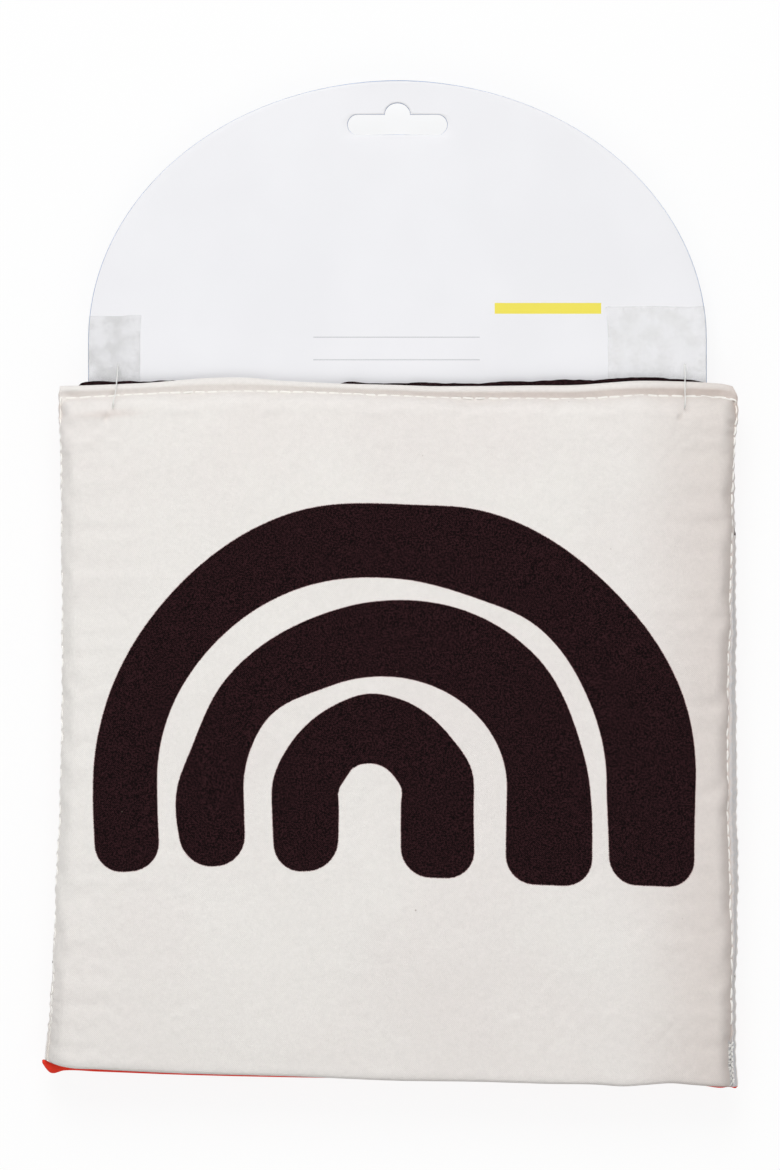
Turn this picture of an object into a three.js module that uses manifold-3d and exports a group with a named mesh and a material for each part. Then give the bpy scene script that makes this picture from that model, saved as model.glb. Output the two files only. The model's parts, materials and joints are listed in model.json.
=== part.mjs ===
// A soft fold-over mirror toy for a baby, lying closed with its shop card still tagged on.
// Two square padded panels are sewn together along a fold. The lower one is the flap. The upper one
// holds a flexible mirror behind a cloth frame on its inner side, so opening the fold shows the mirror.
// Millimetres, +Z up. The origin is under the middle of the whole toy, on the surface that it lies on.
// +Y runs from the fold to the shop card, and +X runs along the fold.

import * as THREE from "three";
import { mergeVertices } from "three/addons/utils/BufferGeometryUtils.js";
import Module from "manifold-3d";

const wasm = await Module();
wasm.setup();

const { lerp, smoothstep } = THREE.MathUtils;

// Both panels
const panelHeight = 222; // fold line to top edge
const panelTopWidth = 217;
const foldFlare = 4; // extra width at the fold
const panelThickness = 12;
const panelCorner = 3;
const sideDrawIn = 1.2; // how far the middle of a side pulls in
const foldGap = 1.2; // between the inner faces of the closed panels, where the card slips in

// Cloth and its seams
const fabric = 0.9;
const layerGap = 0.3; // left between two layers that lie on each other
const lipWidth = 3.4; // flat sewn edge, outside the topstitching
const foldLip = 1; // the same edge along the fold
const edgeRoll = 13; // from the topstitching to the flat of the pad
const rollFullness = 2.4; // 1 would be a straight slope, more is a fuller edge
const sideSeamRun = 26; // over this length the side seam leaves the fold and climbs to mid-thickness
const backCrown = 1.2; // how far the filled back swells past its edges
const foldSeamRadius = 1; // the rolled seam that joins the panels
const foldSeamClearance = 0.4;
const cornerSoftShare = 0.55; // how much a corner rounds for each millimetre further in

// Mirror and what holds it
const frameBorder = 35; // cloth round the window, from the panel's edge
const windowCorner = 22;
const bindingWidth = 4;
const bindingRise = 0.5; // of the binding's top over the frame cloth
const mirrorOverlap = 4; // hidden behind the frame on each side
const mirrorThickness = 1;
const boardMargin = 9.5; // past the mirror on each side
const boardCorner = 8;
const boardThickness = 1.5;

// Shop card, with its hang slot
const cardInset = 9.5; // each side of the card, from the panel's side
const cardArch = 83; // rise of the half-oval top
const cardStraight = 14; // straight side between the panel's top edge and the half-oval
const cardWindowGap = 7; // between the tucked end and the mirror's window
const cardCorner = 6;
const cardThickness = 0.6;
const slotWidth = 32.3;
const slotHeight = 6.6;
const slotBumpRadius = 4.2;
const slotDrop = 14; // card's top to the slot's middle line

// Clear tape that stiffens the card's corners where the tags go through
const tapeThickness = 0.3;
const tapeHeight = 21;
const tapeLift = 1.2; // above the panel's top edge
const leftTapeReach = 17; // inwards from the card's side
const rightTapeReach = 32;

// Tag fasteners: a thin nylon thread with a small bar at each end
const tagInset = 17; // from the panel's side to the thread
const tagPierceInset = 10; // from the panel's top edge to where the thread enters the cloth
const tagCardRise = 6; // from the panel's top edge to the hole in the card
const tagThreadRadius = 0.35;
const tagBarRadius = 0.55;
const tagBarLength = 8;
const tagClearance = 0.35;
const tagSlack = 0.9; // thread's stand-off where it rides over the cloth
const tagBarDepth = 6; // of the hidden bar under the back's surface

const cutOverrun = 2;

// Sizes and places that follow
const panelFoldWidth = panelTopWidth + foldFlare;
const windowWidth = panelTopWidth - 2 * frameBorder;
const windowHeight = panelHeight - 2 * frameBorder;
const mirrorWidth = windowWidth + 2 * mirrorOverlap;
const mirrorHeight = windowHeight + 2 * mirrorOverlap;
const boardWidth = mirrorWidth + 2 * boardMargin;
const boardHeight = mirrorHeight + 2 * boardMargin;
const cardHalfWidth = panelTopWidth / 2 - cardInset;
const cardTucked = frameBorder - cardWindowGap;
const cardRise = cardStraight + cardArch;
const tagSpacing = panelTopWidth - 2 * tagInset;
const wholeLength = foldSeamRadius + panelHeight + cardRise;
const foldY = foldSeamRadius - wholeLength / 2;
const topEdgeY = foldY + panelHeight;
const foldAxisZ = panelThickness + foldGap / 2;
const closedHeight = 2 * foldAxisZ;
const middleOfPanel = panelHeight / 2;
const foldEdge = foldSeamRadius + foldSeamClearance; // where the cloth begins, from the fold line
const foldSeamHeight = panelThickness - fabric - 2 * layerGap;

// Points along each straight of an outline, as shares of its length: closer together by the fold
const sideShares = [0.035, 0.08, 0.13, 0.3, 0.5, 0.75];
const crossShares = [0.2, 0.4, 0.6, 0.8];
const cornerSteps = 3;
const rollShares = [0, 0.12, 0.28, 0.55, 1]; // of the way across the rolled edge
const innerRollShares = [0, 0.18, 0.45, 1];
const crownShares = [0.35, 0.7];

// Shape helpers

// Points of a rounded outline, anticlockwise from its lower right corner. halfAt gives half the width at a height.
function outline(halfAt, low, high, radius) {
  const points = [];
  const corner = (side, y, startAngle) => {
    for (let step = 0; step <= cornerSteps; step++) {
      const angle = startAngle + (step / cornerSteps) * (Math.PI / 2);
      const height = y + radius * Math.sin(angle);
      points.push(new THREE.Vector2(side * (halfAt(height) - radius) + radius * Math.cos(angle), height));
    }
  };
  const bottom = low + radius;
  const top = high - radius;
  const across = halfAt(low) - radius;
  const acrossTop = halfAt(high) - radius;
  corner(1, bottom, -Math.PI / 2);
  for (const share of sideShares) {
    const y = lerp(bottom, top, share);
    points.push(new THREE.Vector2(halfAt(y), y));
  }
  corner(1, top, 0);
  for (const share of crossShares) points.push(new THREE.Vector2(lerp(acrossTop, -acrossTop, share), high));
  corner(-1, top, Math.PI / 2);
  for (const share of sideShares.toReversed()) {
    const y = lerp(bottom, top, share);
    points.push(new THREE.Vector2(-halfAt(y), y));
  }
  corner(-1, bottom, Math.PI);
  for (const share of crossShares) points.push(new THREE.Vector2(lerp(-across, across, share), low));
  return points;
}

// A panel's outline moved in by an inset on three sides, and by another along the fold.
function panelOutline(inset, foldInset) {
  const halfAt = (y) => {
    const share = y / panelHeight;
    const drawnIn = sideDrawIn * 4 * share * (1 - share);
    return lerp(panelFoldWidth, panelTopWidth, share) / 2 - drawnIn - inset;
  };
  return outline(halfAt, foldInset, panelHeight - inset, panelCorner + cornerSoftShare * inset);
}

// A square-cornered or rounded plate's outline about the middle of the panel.
function centredOutline(width, height, radius) {
  return outline(() => width / 2, middleOfPanel - height / 2, middleOfPanel + height / 2, radius);
}

const ring = (points, heightAt) => points.map((p) => new THREE.Vector3(p.x, p.y, heightAt(p.y)));
const flatRing = (points, height) => ring(points, () => height);
const shrunk = (points, share) =>
  points.map((p) => new THREE.Vector2(p.x * (1 - share), lerp(p.y, middleOfPanel, share)));

// A closed solid through a stack of rings, taken from its top, outwards and down. With poles it starts and
// ends in a middle point at the two heights given. Without them, its last ring joins its first.
function loft(rings, poles) {
  const count = rings[0].length;
  const vertices = rings.flat();
  const faces = [];
  // The diagonal always starts on the wider ring, so cloth and filling have the same facets.
  const quads = (a, b) => {
    const narrows = vertices[a].x > vertices[b].x;
    for (let i = 0; i < count; i++) {
      const next = (i + 1) % count;
      if (narrows) faces.push(a + i, b + i, b + next, a + i, b + next, a + next);
      else faces.push(a + i, b + i, a + next, b + i, b + next, a + next);
    }
  };
  for (let r = 0; r + 1 < rings.length; r++) quads(r * count, (r + 1) * count);
  const last = (rings.length - 1) * count;
  if (poles) {
    const top = vertices.push(new THREE.Vector3(0, middleOfPanel, poles[0])) - 1;
    const bottom = vertices.push(new THREE.Vector3(0, middleOfPanel, poles[1])) - 1;
    for (let i = 0; i < count; i++) {
      const next = (i + 1) % count;
      faces.push(top, i, next, bottom, last + next, last + i);
    }
  } else {
    quads(last, 0);
  }
  const geometry = new THREE.BufferGeometry().setFromPoints(vertices);
  geometry.setIndex(faces);
  return geometry;
}

function solidOf(geometry) {
  const bare = geometry.clone();
  bare.deleteAttribute("normal");
  bare.deleteAttribute("uv");
  const merged = mergeVertices(bare);
  const triVerts = new Uint32Array(merged.index.array);
  return new wasm.Manifold(
    new wasm.Mesh({ numProp: 3, vertProperties: merged.attributes.position.array, triVerts }),
  );
}

function geometryOf(solid) {
  const mesh = solid.getMesh();
  const geometry = new THREE.BufferGeometry();
  geometry.setAttribute("position", new THREE.BufferAttribute(mesh.vertProperties, 3));
  geometry.setIndex(new THREE.BufferAttribute(mesh.triVerts, 1));
  return geometry;
}

const cut = (geometry, ...tools) =>
  geometryOf(tools.reduce((solid, tool) => solid.subtract(solidOf(tool)), solidOf(geometry)));

const plate = (shape, thickness, curveSegments) =>
  new THREE.ExtrudeGeometry(shape, { depth: thickness, bevelEnabled: false, curveSegments });

// A round pin, centred on a point, along +X or +Z.
function pin(radius, length, centre, alongX, sides) {
  const geometry = new THREE.CylinderGeometry(radius, radius, length, sides);
  if (alongX) geometry.rotateZ(Math.PI / 2);
  else geometry.rotateX(Math.PI / 2);
  return geometry.translate(centre.x, centre.y, centre.z);
}

// Panel shells. In a panel's own frame the fold line is y 0, the outer face is z 0 and the inner face is
// z panelThickness. inner is true for the cloth on the inner face.

// Height of the sewn edge: up at the inner face along the fold, at mid-thickness round the other sides.
const seamHeight = (y) => lerp(foldSeamHeight, panelThickness / 2, smoothstep(y, 0, sideSeamRun));

// One ring of a cloth's surface, a depth under its outside and part of the way across the rolled edge.
function rollRing(inner, depth, share) {
  const across = lerp(depth, edgeRoll, share);
  const climbed = 1 - (1 - share) ** rollFullness;
  const flat = inner ? panelThickness - depth : depth;
  const offset = Math.max(0, layerGap / 2 + fabric - depth);
  const edge = (y) =>
    inner ? Math.min(seamHeight(y) + offset, flat) : Math.max(seamHeight(y) - offset, flat);
  return ring(panelOutline(lipWidth + across, foldEdge + foldLip + across), (y) =>
    lerp(edge(y), flat, climbed),
  );
}

// The outermost ring of the sewn lip, on the outside of the cloth or against the layer that it is sewn to.
function lipRing(inner, depth) {
  const offset = (inner ? 1 : -1) * (layerGap / 2 + fabric - depth);
  return ring(panelOutline(0, foldEdge), (y) => seamHeight(y) + offset);
}

// Rings from the middle of a face out to the start of its roll, swelling outwards by a crown.
function crownRings(inner, depth, crown) {
  if (crown === 0) return [];
  const flat = inner ? panelThickness - depth : depth;
  const outwards = inner ? crown : -crown;
  const edge = panelOutline(lipWidth + edgeRoll, foldEdge + foldLip + edgeRoll);
  return crownShares.map((share) =>
    flatRing(shrunk(edge, share), flat + outwards * Math.sin((share * Math.PI) / 2)),
  );
}

// A cloth face from its middle out to its lip: crown, then roll, then lip.
function faceRings(inner, depth, crown, shares) {
  const roll = shares.toReversed().map((share) => rollRing(inner, depth, share));
  return [...crownRings(inner, depth, crown).toReversed(), ...roll];
}

// The cloth on a panel's outer face, swelling by a crown.
function outerCover(crown) {
  return loft(
    [
      ...faceRings(false, fabric, crown, innerRollShares),
      lipRing(false, fabric),
      lipRing(false, 0),
      ...faceRings(false, 0, crown, rollShares).toReversed(),
    ],
    [fabric - crown, -crown],
  );
}

// The plain cloth on the flap's inner face.
function innerCover() {
  return loft(
    [
      ...faceRings(true, 0, 0, rollShares),
      lipRing(true, 0),
      lipRing(true, fabric),
      ...faceRings(true, fabric, 0, innerRollShares).toReversed(),
    ],
    [panelThickness, panelThickness - fabric],
  );
}

// The cloth round the mirror, open at its window.
function frameCover() {
  const windowEdge = centredOutline(windowWidth, windowHeight, windowCorner);
  return loft([
    flatRing(windowEdge, panelThickness),
    ...faceRings(true, 0, 0, rollShares),
    lipRing(true, 0),
    lipRing(true, fabric),
    ...faceRings(true, fabric, 0, innerRollShares).toReversed(),
    flatRing(windowEdge, panelThickness - fabric),
  ]);
}

// The filling: one thick crowned pad that fills the space inside its two cloths.
const padDepth = fabric + layerGap;
function pad(crown) {
  const [rim, ...outerRoll] = innerRollShares.map((share) => rollRing(false, padDepth, share));
  const innerRoll = innerRollShares.slice(1).map((share) => rollRing(true, padDepth, share));
  return loft(
    [...innerRoll.toReversed(), rim, ...outerRoll, ...crownRings(false, padDepth, crown)],
    [panelThickness - padDepth, padDepth - crown],
  );
}

// Mirror layers, down from the frame cloth
const mirrorTop = panelThickness - fabric - layerGap;
const boardTop = mirrorTop - mirrorThickness - layerGap;
const boardUnder = boardTop - boardThickness;

const mirrorSheet = plate(
  new THREE.Shape(centredOutline(mirrorWidth, mirrorHeight, windowCorner + mirrorOverlap)),
  mirrorThickness,
).translate(0, 0, mirrorTop - mirrorThickness);

const backingBoard = plate(
  new THREE.Shape(centredOutline(boardWidth, boardHeight, boardCorner)),
  boardThickness,
).translate(0, 0, boardUnder);

// The hollow in the filling that the board and the mirror lie in.
const boardHollow = plate(
  new THREE.Shape(
    centredOutline(boardWidth + 2 * layerGap, boardHeight + 2 * layerGap, boardCorner + layerGap),
  ),
  panelThickness,
).translate(0, 0, boardUnder - layerGap);

// The rounded cloth binding that lines the window, as rings round its section.
const bindingSection = [
  { acrossShare: 0, height: panelThickness - fabric },
  { acrossShare: 0, height: panelThickness },
  { acrossShare: 0.3, height: panelThickness + bindingRise },
  { acrossShare: 0.7, height: panelThickness + bindingRise },
  { acrossShare: 1, height: panelThickness - fabric / 2 },
  { acrossShare: 1, height: panelThickness - fabric },
];
const windowBinding = loft(
  bindingSection.toReversed().map(({ acrossShare, height }) => {
    const inset = layerGap + acrossShare * bindingWidth;
    const edge = centredOutline(windowWidth - 2 * inset, windowHeight - 2 * inset, windowCorner - inset);
    return flatRing(edge, height);
  }),
);

// Shop card
const cardMidZ = foldAxisZ;
const cardSides = 48;

// The card's outline, grown by a margin, with the half-oval top as one arc.
function cardOutline(margin) {
  const half = cardHalfWidth + margin;
  const archY = topEdgeY + cardStraight;
  const low = topEdgeY - cardTucked - margin;
  const radius = cardCorner + margin;
  const shape = new THREE.Shape();
  shape.moveTo(half, archY);
  shape.absellipse(0, archY, half, cardArch + margin, 0, Math.PI, false);
  shape.lineTo(-half, low + radius);
  shape.absarc(-half + radius, low + radius, radius, Math.PI, 1.5 * Math.PI, false);
  shape.lineTo(half - radius, low);
  shape.absarc(half - radius, low + radius, radius, 1.5 * Math.PI, 2 * Math.PI, false);
  return shape;
}

// The hang slot: a wide slot with round ends and a round bump over its middle, for a peg hook.
function hangSlot() {
  const y = topEdgeY + cardRise - slotDrop;
  const endRadius = slotHeight / 2;
  const end = slotWidth / 2 - endRadius;
  const path = new THREE.Path();
  path.moveTo(-end, y - endRadius);
  path.absarc(end, y, endRadius, -Math.PI / 2, Math.PI / 2, false);
  path.absarc(0, y + endRadius, slotBumpRadius, 0, Math.PI, false);
  path.absarc(-end, y, endRadius, Math.PI / 2, 1.5 * Math.PI, false);
  return path;
}

const tagHole = (x, radius) =>
  pin(
    radius,
    cardThickness + 2 * (tapeThickness + layerGap + cutOverrun),
    new THREE.Vector3(x, topEdgeY + tagCardRise, cardMidZ),
    false,
    10,
  );
const tagHoleRadius = tagThreadRadius + tagClearance;

function headerCard() {
  const shape = cardOutline(0);
  shape.holes.push(hangSlot());
  const body = plate(shape, cardThickness, cardSides / 4).translate(0, 0, cardMidZ - cardThickness / 2);
  return cut(body, tagHole(-tagSpacing / 2, tagHoleRadius), tagHole(tagSpacing / 2, tagHoleRadius));
}

// A strip of tape folded round one side of the card: both faces and the edge between them.
function cardTape(side, reach) {
  const slab = (margin) =>
    plate(cardOutline(margin), cardThickness + 2 * margin, cardSides / 4).translate(
      0,
      0,
      cardMidZ - cardThickness / 2 - margin,
    );
  const inner = layerGap;
  const outer = layerGap + tapeThickness;
  const window = new THREE.BoxGeometry(reach + 2 * outer, tapeHeight, cardThickness + 4 * outer);
  window.translate(
    side * (cardHalfWidth + outer - reach / 2),
    topEdgeY + tapeLift + tapeHeight / 2,
    cardMidZ,
  );
  const wrap = solidOf(slab(outer)).subtract(solidOf(slab(inner))).intersect(solidOf(window));
  return geometryOf(wrap.subtract(solidOf(tagHole((side * tagSpacing) / 2, tagHoleRadius))));
}

// Tag fasteners
const backTop = closedHeight; // height of the back's flat, where a tag's thread comes out
const tagPierceY = topEdgeY - tagPierceInset;
const hiddenBarZ = backTop - tagBarDepth;
const cardBarZ = cardMidZ - cardThickness / 2 - layerGap - tapeThickness - layerGap - tagBarRadius;
const lipTopZ = closedHeight - seamHeight(panelHeight) + layerGap / 2 + fabric;

// The thread: up out of the back, over the sewn edge, and down through the card to its own bar.
function tagPath(x) {
  const over = tagThreadRadius + tagSlack;
  return new THREE.CatmullRomCurve3(
    [
      [tagPierceY, hiddenBarZ],
      [tagPierceY, backTop - over],
      [tagPierceY + over / 2, backTop + over / 2],
      [tagPierceY + 2 * over, backTop + over],
      [lerp(tagPierceY, topEdgeY, 0.7), lerp(backTop, lipTopZ, 0.35) + over],
      [topEdgeY + over, lipTopZ + over],
      [topEdgeY + tagCardRise - over / 2, lerp(lipTopZ, cardMidZ, 0.5)],
      [topEdgeY + tagCardRise, lerp(lipTopZ, cardMidZ, 0.75)],
      [topEdgeY + tagCardRise, cardBarZ],
    ].map(([y, z]) => new THREE.Vector3(x, y, z)),
  );
}

function roundSection(radius, sides) {
  const section = new THREE.Shape();
  for (let i = 0; i < sides; i++) {
    const angle = (i / sides) * 2 * Math.PI;
    const place = [radius * Math.cos(angle), radius * Math.sin(angle)];
    if (i === 0) section.moveTo(...place);
    else section.lineTo(...place);
  }
  section.closePath();
  return section;
}

function tagFastener(x) {
  const thread = new THREE.ExtrudeGeometry(roundSection(tagThreadRadius, 8), {
    steps: 40,
    extrudePath: tagPath(x),
    bevelEnabled: false,
  });
  const bars = [
    [tagPierceY, hiddenBarZ],
    [topEdgeY + tagCardRise, cardBarZ],
  ].map(([y, z]) => pin(tagBarRadius, tagBarLength, new THREE.Vector3(x, y, z), true, 10));
  return geometryOf(bars.reduce((solid, bar) => solid.add(solidOf(bar)), solidOf(thread)));
}

// The room that a tag needs in the panel, in the panel's own frame: a needle hole, and a pocket for its bar.
function tagRoom(x) {
  const y = tagPierceY - foldY;
  const depth = closedHeight - hiddenBarZ;
  const holeRadius = tagThreadRadius + tagClearance;
  const pocketRadius = tagBarRadius + tagClearance;
  const holeTop = -(backCrown + cutOverrun);
  const hole = pin(
    holeRadius,
    depth - holeTop,
    new THREE.Vector3(-x, y, (depth + holeTop) / 2),
    false,
    10,
  );
  const pocket = pin(
    pocketRadius,
    tagBarLength + 2 * tagClearance,
    new THREE.Vector3(-x, y, depth),
    true,
    10,
  );
  return [hole, pocket];
}
const tagPlaces = [-tagSpacing / 2, tagSpacing / 2];
const tagRooms = tagPlaces.flatMap(tagRoom);

// The rolled seam along the fold, which both panels are sewn to.
const foldSeam = pin(
  foldSeamRadius,
  panelFoldWidth,
  new THREE.Vector3(0, foldY, foldAxisZ),
  true,
  16,
);

// Finishes
const finish = (color, roughness, more) =>
  new THREE.MeshStandardMaterial({ color, roughness, metalness: 0, ...more });
const cream = finish(0xe9e5e0, 0.9);
const red = finish(0xe8412f, 0.85);
const patterned = finish(0x2b1a1c, 0.9);
const filling = finish(0xf5f3ee, 0.95);
const board = finish(0xb9a98c, 0.9);
const silver = finish(0xf2f4f6, 0.04, { metalness: 1 });
const paper = finish(0xf0f0f3, 0.55);
const clear = finish(0xf4f5f2, 0.15, { transparent: true, opacity: 0.35 });
const nylon = finish(0xf2f2ee, 0.3, { transparent: true, opacity: 0.6 });

const piece = (name, geometry, material) => {
  geometry.computeVertexNormals();
  const mesh = new THREE.Mesh(geometry, material);
  mesh.name = name;
  return mesh;
};

// Assembly

const flap = new THREE.Group();
flap.position.set(0, foldY, 0);
flap.add(
  piece("flap_outer_cover", outerCover(0), red),
  piece("flap_padding", pad(0), filling),
  piece("flap_inner_cover", innerCover(), patterned),
);

// The mirror panel lies on the flap face to face, so it is the same panel turned over about +Y.
const mirrorPanel = new THREE.Group();
mirrorPanel.position.set(0, foldY, closedHeight);
mirrorPanel.rotation.y = Math.PI;
mirrorPanel.add(
  piece("back_cover", cut(outerCover(backCrown), ...tagRooms), cream),
  piece("mirror_padding", cut(pad(backCrown), boardHollow, ...tagRooms), filling),
  piece("backing_board", backingBoard, board),
  piece("mirror_sheet", mirrorSheet, silver),
  piece("mirror_frame_cover", frameCover(), patterned),
  piece("window_binding", windowBinding, red),
);

const shopCard = new THREE.Group();
shopCard.add(
  piece("header_card", headerCard(), paper),
  piece("card_tape_left", cardTape(-1, leftTapeReach), clear),
  piece("card_tape_right", cardTape(1, rightTapeReach), clear),
  piece("tag_fastener_left", tagFastener(tagPlaces[0]), nylon),
  piece("tag_fastener_right", tagFastener(tagPlaces[1]), nylon),
);

const toy = new THREE.Group();
toy.add(flap, mirrorPanel, shopCard, piece("fold_seam", foldSeam, red));

export default toy;
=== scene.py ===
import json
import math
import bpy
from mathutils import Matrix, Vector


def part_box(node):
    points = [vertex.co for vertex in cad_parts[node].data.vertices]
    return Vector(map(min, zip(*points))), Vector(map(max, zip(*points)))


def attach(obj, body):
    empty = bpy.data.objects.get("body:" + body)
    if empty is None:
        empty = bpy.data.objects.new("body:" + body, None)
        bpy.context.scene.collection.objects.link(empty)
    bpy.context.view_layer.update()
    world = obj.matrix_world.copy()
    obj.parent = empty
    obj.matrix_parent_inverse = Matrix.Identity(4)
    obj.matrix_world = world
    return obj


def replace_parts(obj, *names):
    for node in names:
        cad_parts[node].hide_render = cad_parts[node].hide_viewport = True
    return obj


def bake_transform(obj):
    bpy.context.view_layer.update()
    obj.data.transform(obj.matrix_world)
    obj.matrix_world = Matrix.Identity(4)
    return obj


bl_info = {
    "name": "Fold-over mirror toy",
    "version": (1, 0, 0),
    "blender": (4, 5, 0),
    "location": "3D View > Sidebar > Mirror toy",
    "description": "Dresses the frame of a soft fold-over mirror toy in cloth, thread, card and tape",
    "category": "Object",
}

from typing import NamedTuple

import bpy
import numpy as np
from bpy.props import FloatProperty, FloatVectorProperty, IntProperty, PointerProperty
from bpy.types import Operator, Panel, PropertyGroup
from mathutils import Vector

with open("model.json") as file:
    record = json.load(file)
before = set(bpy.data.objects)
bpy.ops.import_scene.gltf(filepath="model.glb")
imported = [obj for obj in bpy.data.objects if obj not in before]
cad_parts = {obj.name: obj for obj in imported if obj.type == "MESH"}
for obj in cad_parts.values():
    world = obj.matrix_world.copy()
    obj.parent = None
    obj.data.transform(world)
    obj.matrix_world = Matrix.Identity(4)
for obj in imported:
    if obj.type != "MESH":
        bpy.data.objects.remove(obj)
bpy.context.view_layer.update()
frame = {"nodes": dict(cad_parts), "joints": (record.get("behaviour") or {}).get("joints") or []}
MM = 0.001

# Places that the frame fixes, in metres
HINGE = next(joint for joint in frame["joints"] if joint["name"] == "fold_hinge")
FOLD_Y, HINGE_Z = HINGE["pos_m"][1:]
CLOSED = 2 * HINGE_Z  # height of the closed toy without its crown
TOP_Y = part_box("back_cover")[1][1]
HEIGHT = TOP_Y - FOLD_Y  # of a panel, from the fold to its top
MIDDLE = HEIGHT / 2
HALF = 108.5 * MM  # half the width of a panel before its edges are warped
THICK = 12 * MM  # of one panel
CORNER = 1.5 * MM  # radius of a panel's corners
CLOTH = 0.9 * MM  # thickness of a cloth


def half_sides(node):
    """Half the width and half the length of a piece's box."""
    low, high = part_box(node)
    return (high[0] - low[0]) / 2, (high[1] - low[1]) / 2


WINDOW = tuple(side + 0.3 * MM for side in half_sides("window_binding"))
WINDOW_CORNER = 22 * MM
BOARD = half_sides("backing_board")
CARD_HALF = half_sides("header_card")[0]
CARD_LOW, CARD_TOP = (corner[1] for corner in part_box("header_card"))
CARD_ARCH = 83 * MM  # height of the card's half-oval top
TAG_AT = 91.5 * MM  # a tag's place to each side of the middle
PIERCE_Y = TOP_Y - 8.7 * MM  # where a tag's thread leaves the back
HOLE_Y = TOP_Y + 5.6 * MM  # and where it goes down through the card

Z_AXIS = np.array([0, 0, 1.0])
X_AXIS = np.array([1.0, 0, 0])


def table(*knots):
    """Knots of a smooth curve, given in millimetres."""
    return np.array(knots) * MM


# Edges as seen from above. A side's knots say how far across it lies at each distance from the fold. Those
# of the top and of the folds say how far up from a straight line they lie at each place across.
LEFT_EDGE = table(
    (0, -112.6), (8, -111.9), (17.5, -110.8), (24, -110.6), (40, -109.7), (56, -109.2), (80, -108.1),
    (104, -107.3), (128, -107.2), (184, -107.6), (222, -108.5),
)
RIGHT_EDGE = table(
    (0, 108.4), (10, 107.6), (24, 107.5), (32, 107.6), (50, 108.2), (80, 108.1), (110, 107.8), (130, 107.9),
    (150, 108.0), (184, 107.6), (205, 108.3), (214, 108.9), (219, 108.8), (221, 108.3), (222, 107.6),
)
TOP_EDGE = table(
    (-108, -1.3), (-99, -1.1), (-90, -0.75), (-80, -0.3), (-71, 0.45), (-63, 1.15), (-54, 1.45), (-46, 1.25),
    (-38, 0.45), (-32, 0.1), (-18, -0.55), (0, -1), (10, -1.35), (26, -1.35), (42, -1.15), (59, -0.9),
    (67, -0.3), (76, 0.3), (88, 0.2), (100, -0.3), (105, -0.8), (108, -1.6),
)
CREAM_FOLD = table(
    (-112.5, 5.4), (-109, 3.8), (-105.4, 2.9), (-95.5, 2.3), (-73.4, 1.2), (-31.2, 0), (0.8, -1.3),
    (24.8, -1.6), (48.8, -2.3), (64.8, -2.6), (71.8, -3.1), (79.5, -2.6), (87.2, -2.1), (94.9, -2.7),
    (103.2, -3.2), (108.3, -3.2),
)
FLAP_FOLD = table(
    (-112.5, 4.5), (-106.6, 2.6), (-95.5, 2.2), (-73.4, 1.5), (-31, 0.8), (0, 1.8), (25, 2.2), (65, 3.1),
    (85, 3.4), (108.6, 3.7),
)
# Outer edge of the rolled seam
RED_FOLD = table(
    (-113.4, 3.4), (-111, 1.2), (-106.6, 1.8), (-95.5, 1.45), (-73.4, 0.6), (-31.2, -0.4), (-10, -0.7),
    (0.8, -1), (24.8, -1.3), (48.8, -2), (64.8, -2.3), (71.8, -2.7), (79.5, -2.3), (87.2, -1.8), (94.9, -2.6),
    (98.4, -3.1), (103.5, -3.7), (106, -3.4), (108.5, -4.0), (110, -3.8),
)
# How much of the sewn lip's width shows from above before it turns down
LEFT_LIP = table((0, 0.8), (30, 0.5), (120, 0.4), (222, 0.5))
RIGHT_LIP = table(
    (0, 1.8), (8, 1.6), (24, 1.4), (37, 1.6), (62, 2.6), (120, 2.7), (147, 2.1), (165, 1.5), (187, 0.9),
    (222, 0.4),
)
TOP_LIP = table(
    (-108, 4), (-71, 4), (-63, 4.5), (-54, 4.7), (-46, 4.4), (-38, 3.7), (-30, 3.4), (0, 3.6), (52, 4.5),
    (88, 4.8), (108, 4.4),
)
FLAP_LIP = 3 * MM  # the same for the flap, all along its sides
# How far the dark inner cloth stands past the cream lip along the top
PEEK = table(
    (-108, -0.9), (-103, -0.7), (-101.5, 0.6), (-98.5, 1.25), (-91, 0.9), (-87, 0.95), (-79, 0.4),
    (-75, 0.35), (-70, -0.1), (-66, -0.4), (-20, -0.4), (-17, 0.35), (-6, 0.3), (0, 0.6), (5, 0.95),
    (28, 1.0), (33, 1.35), (44, 1.4), (52, 1.8), (58, 1.7), (63, 1.3), (72, 1.25), (82, 1.1), (90, 0.75),
    (97, 0.35), (100, -0.2), (108, -0.6),
)


# Small shape tools. Each works on whole arrays.


def smooth(low, high, value):
    """A smooth step from 0 to 1: 3t^2 - 2t^3, with t the share of the way from low to high."""
    t = np.clip((value - low) / (high - low), 0, 1)
    return t * t * (3 - 2 * t)


def mix(a, b, share):
    """The straight blend of a and b."""
    return a + (b - a) * share


def fade(distance, reach):
    """1 up to a line, and exp(-d / reach) at the distance d past it."""
    return np.exp(-np.maximum(distance, 0) / reach)


def bell(distance, width):
    """exp(-(d / width)^2): 1 on a line, and next to nothing at twice the width beside it."""
    return np.exp(-((distance / width) ** 2))


def along(knots, place):
    """A smooth curve through knots: a cubic from each to the next, with the slopes of its neighbours."""
    x, y = knots[:, 0], knots[:, 1]
    slope = np.gradient(y, x)
    i = np.clip(np.searchsorted(x, place) - 1, 0, len(x) - 2)
    width = x[i + 1] - x[i]
    t = np.clip((place - x[i]) / width, 0, 1)
    return (
        (2 * t**3 - 3 * t**2 + 1) * y[i]
        + (t**3 - 2 * t**2 + t) * width * slope[i]
        + (3 * t**2 - 2 * t**3) * y[i + 1]
        + (t**3 - t**2) * width * slope[i + 1]
    )


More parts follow.
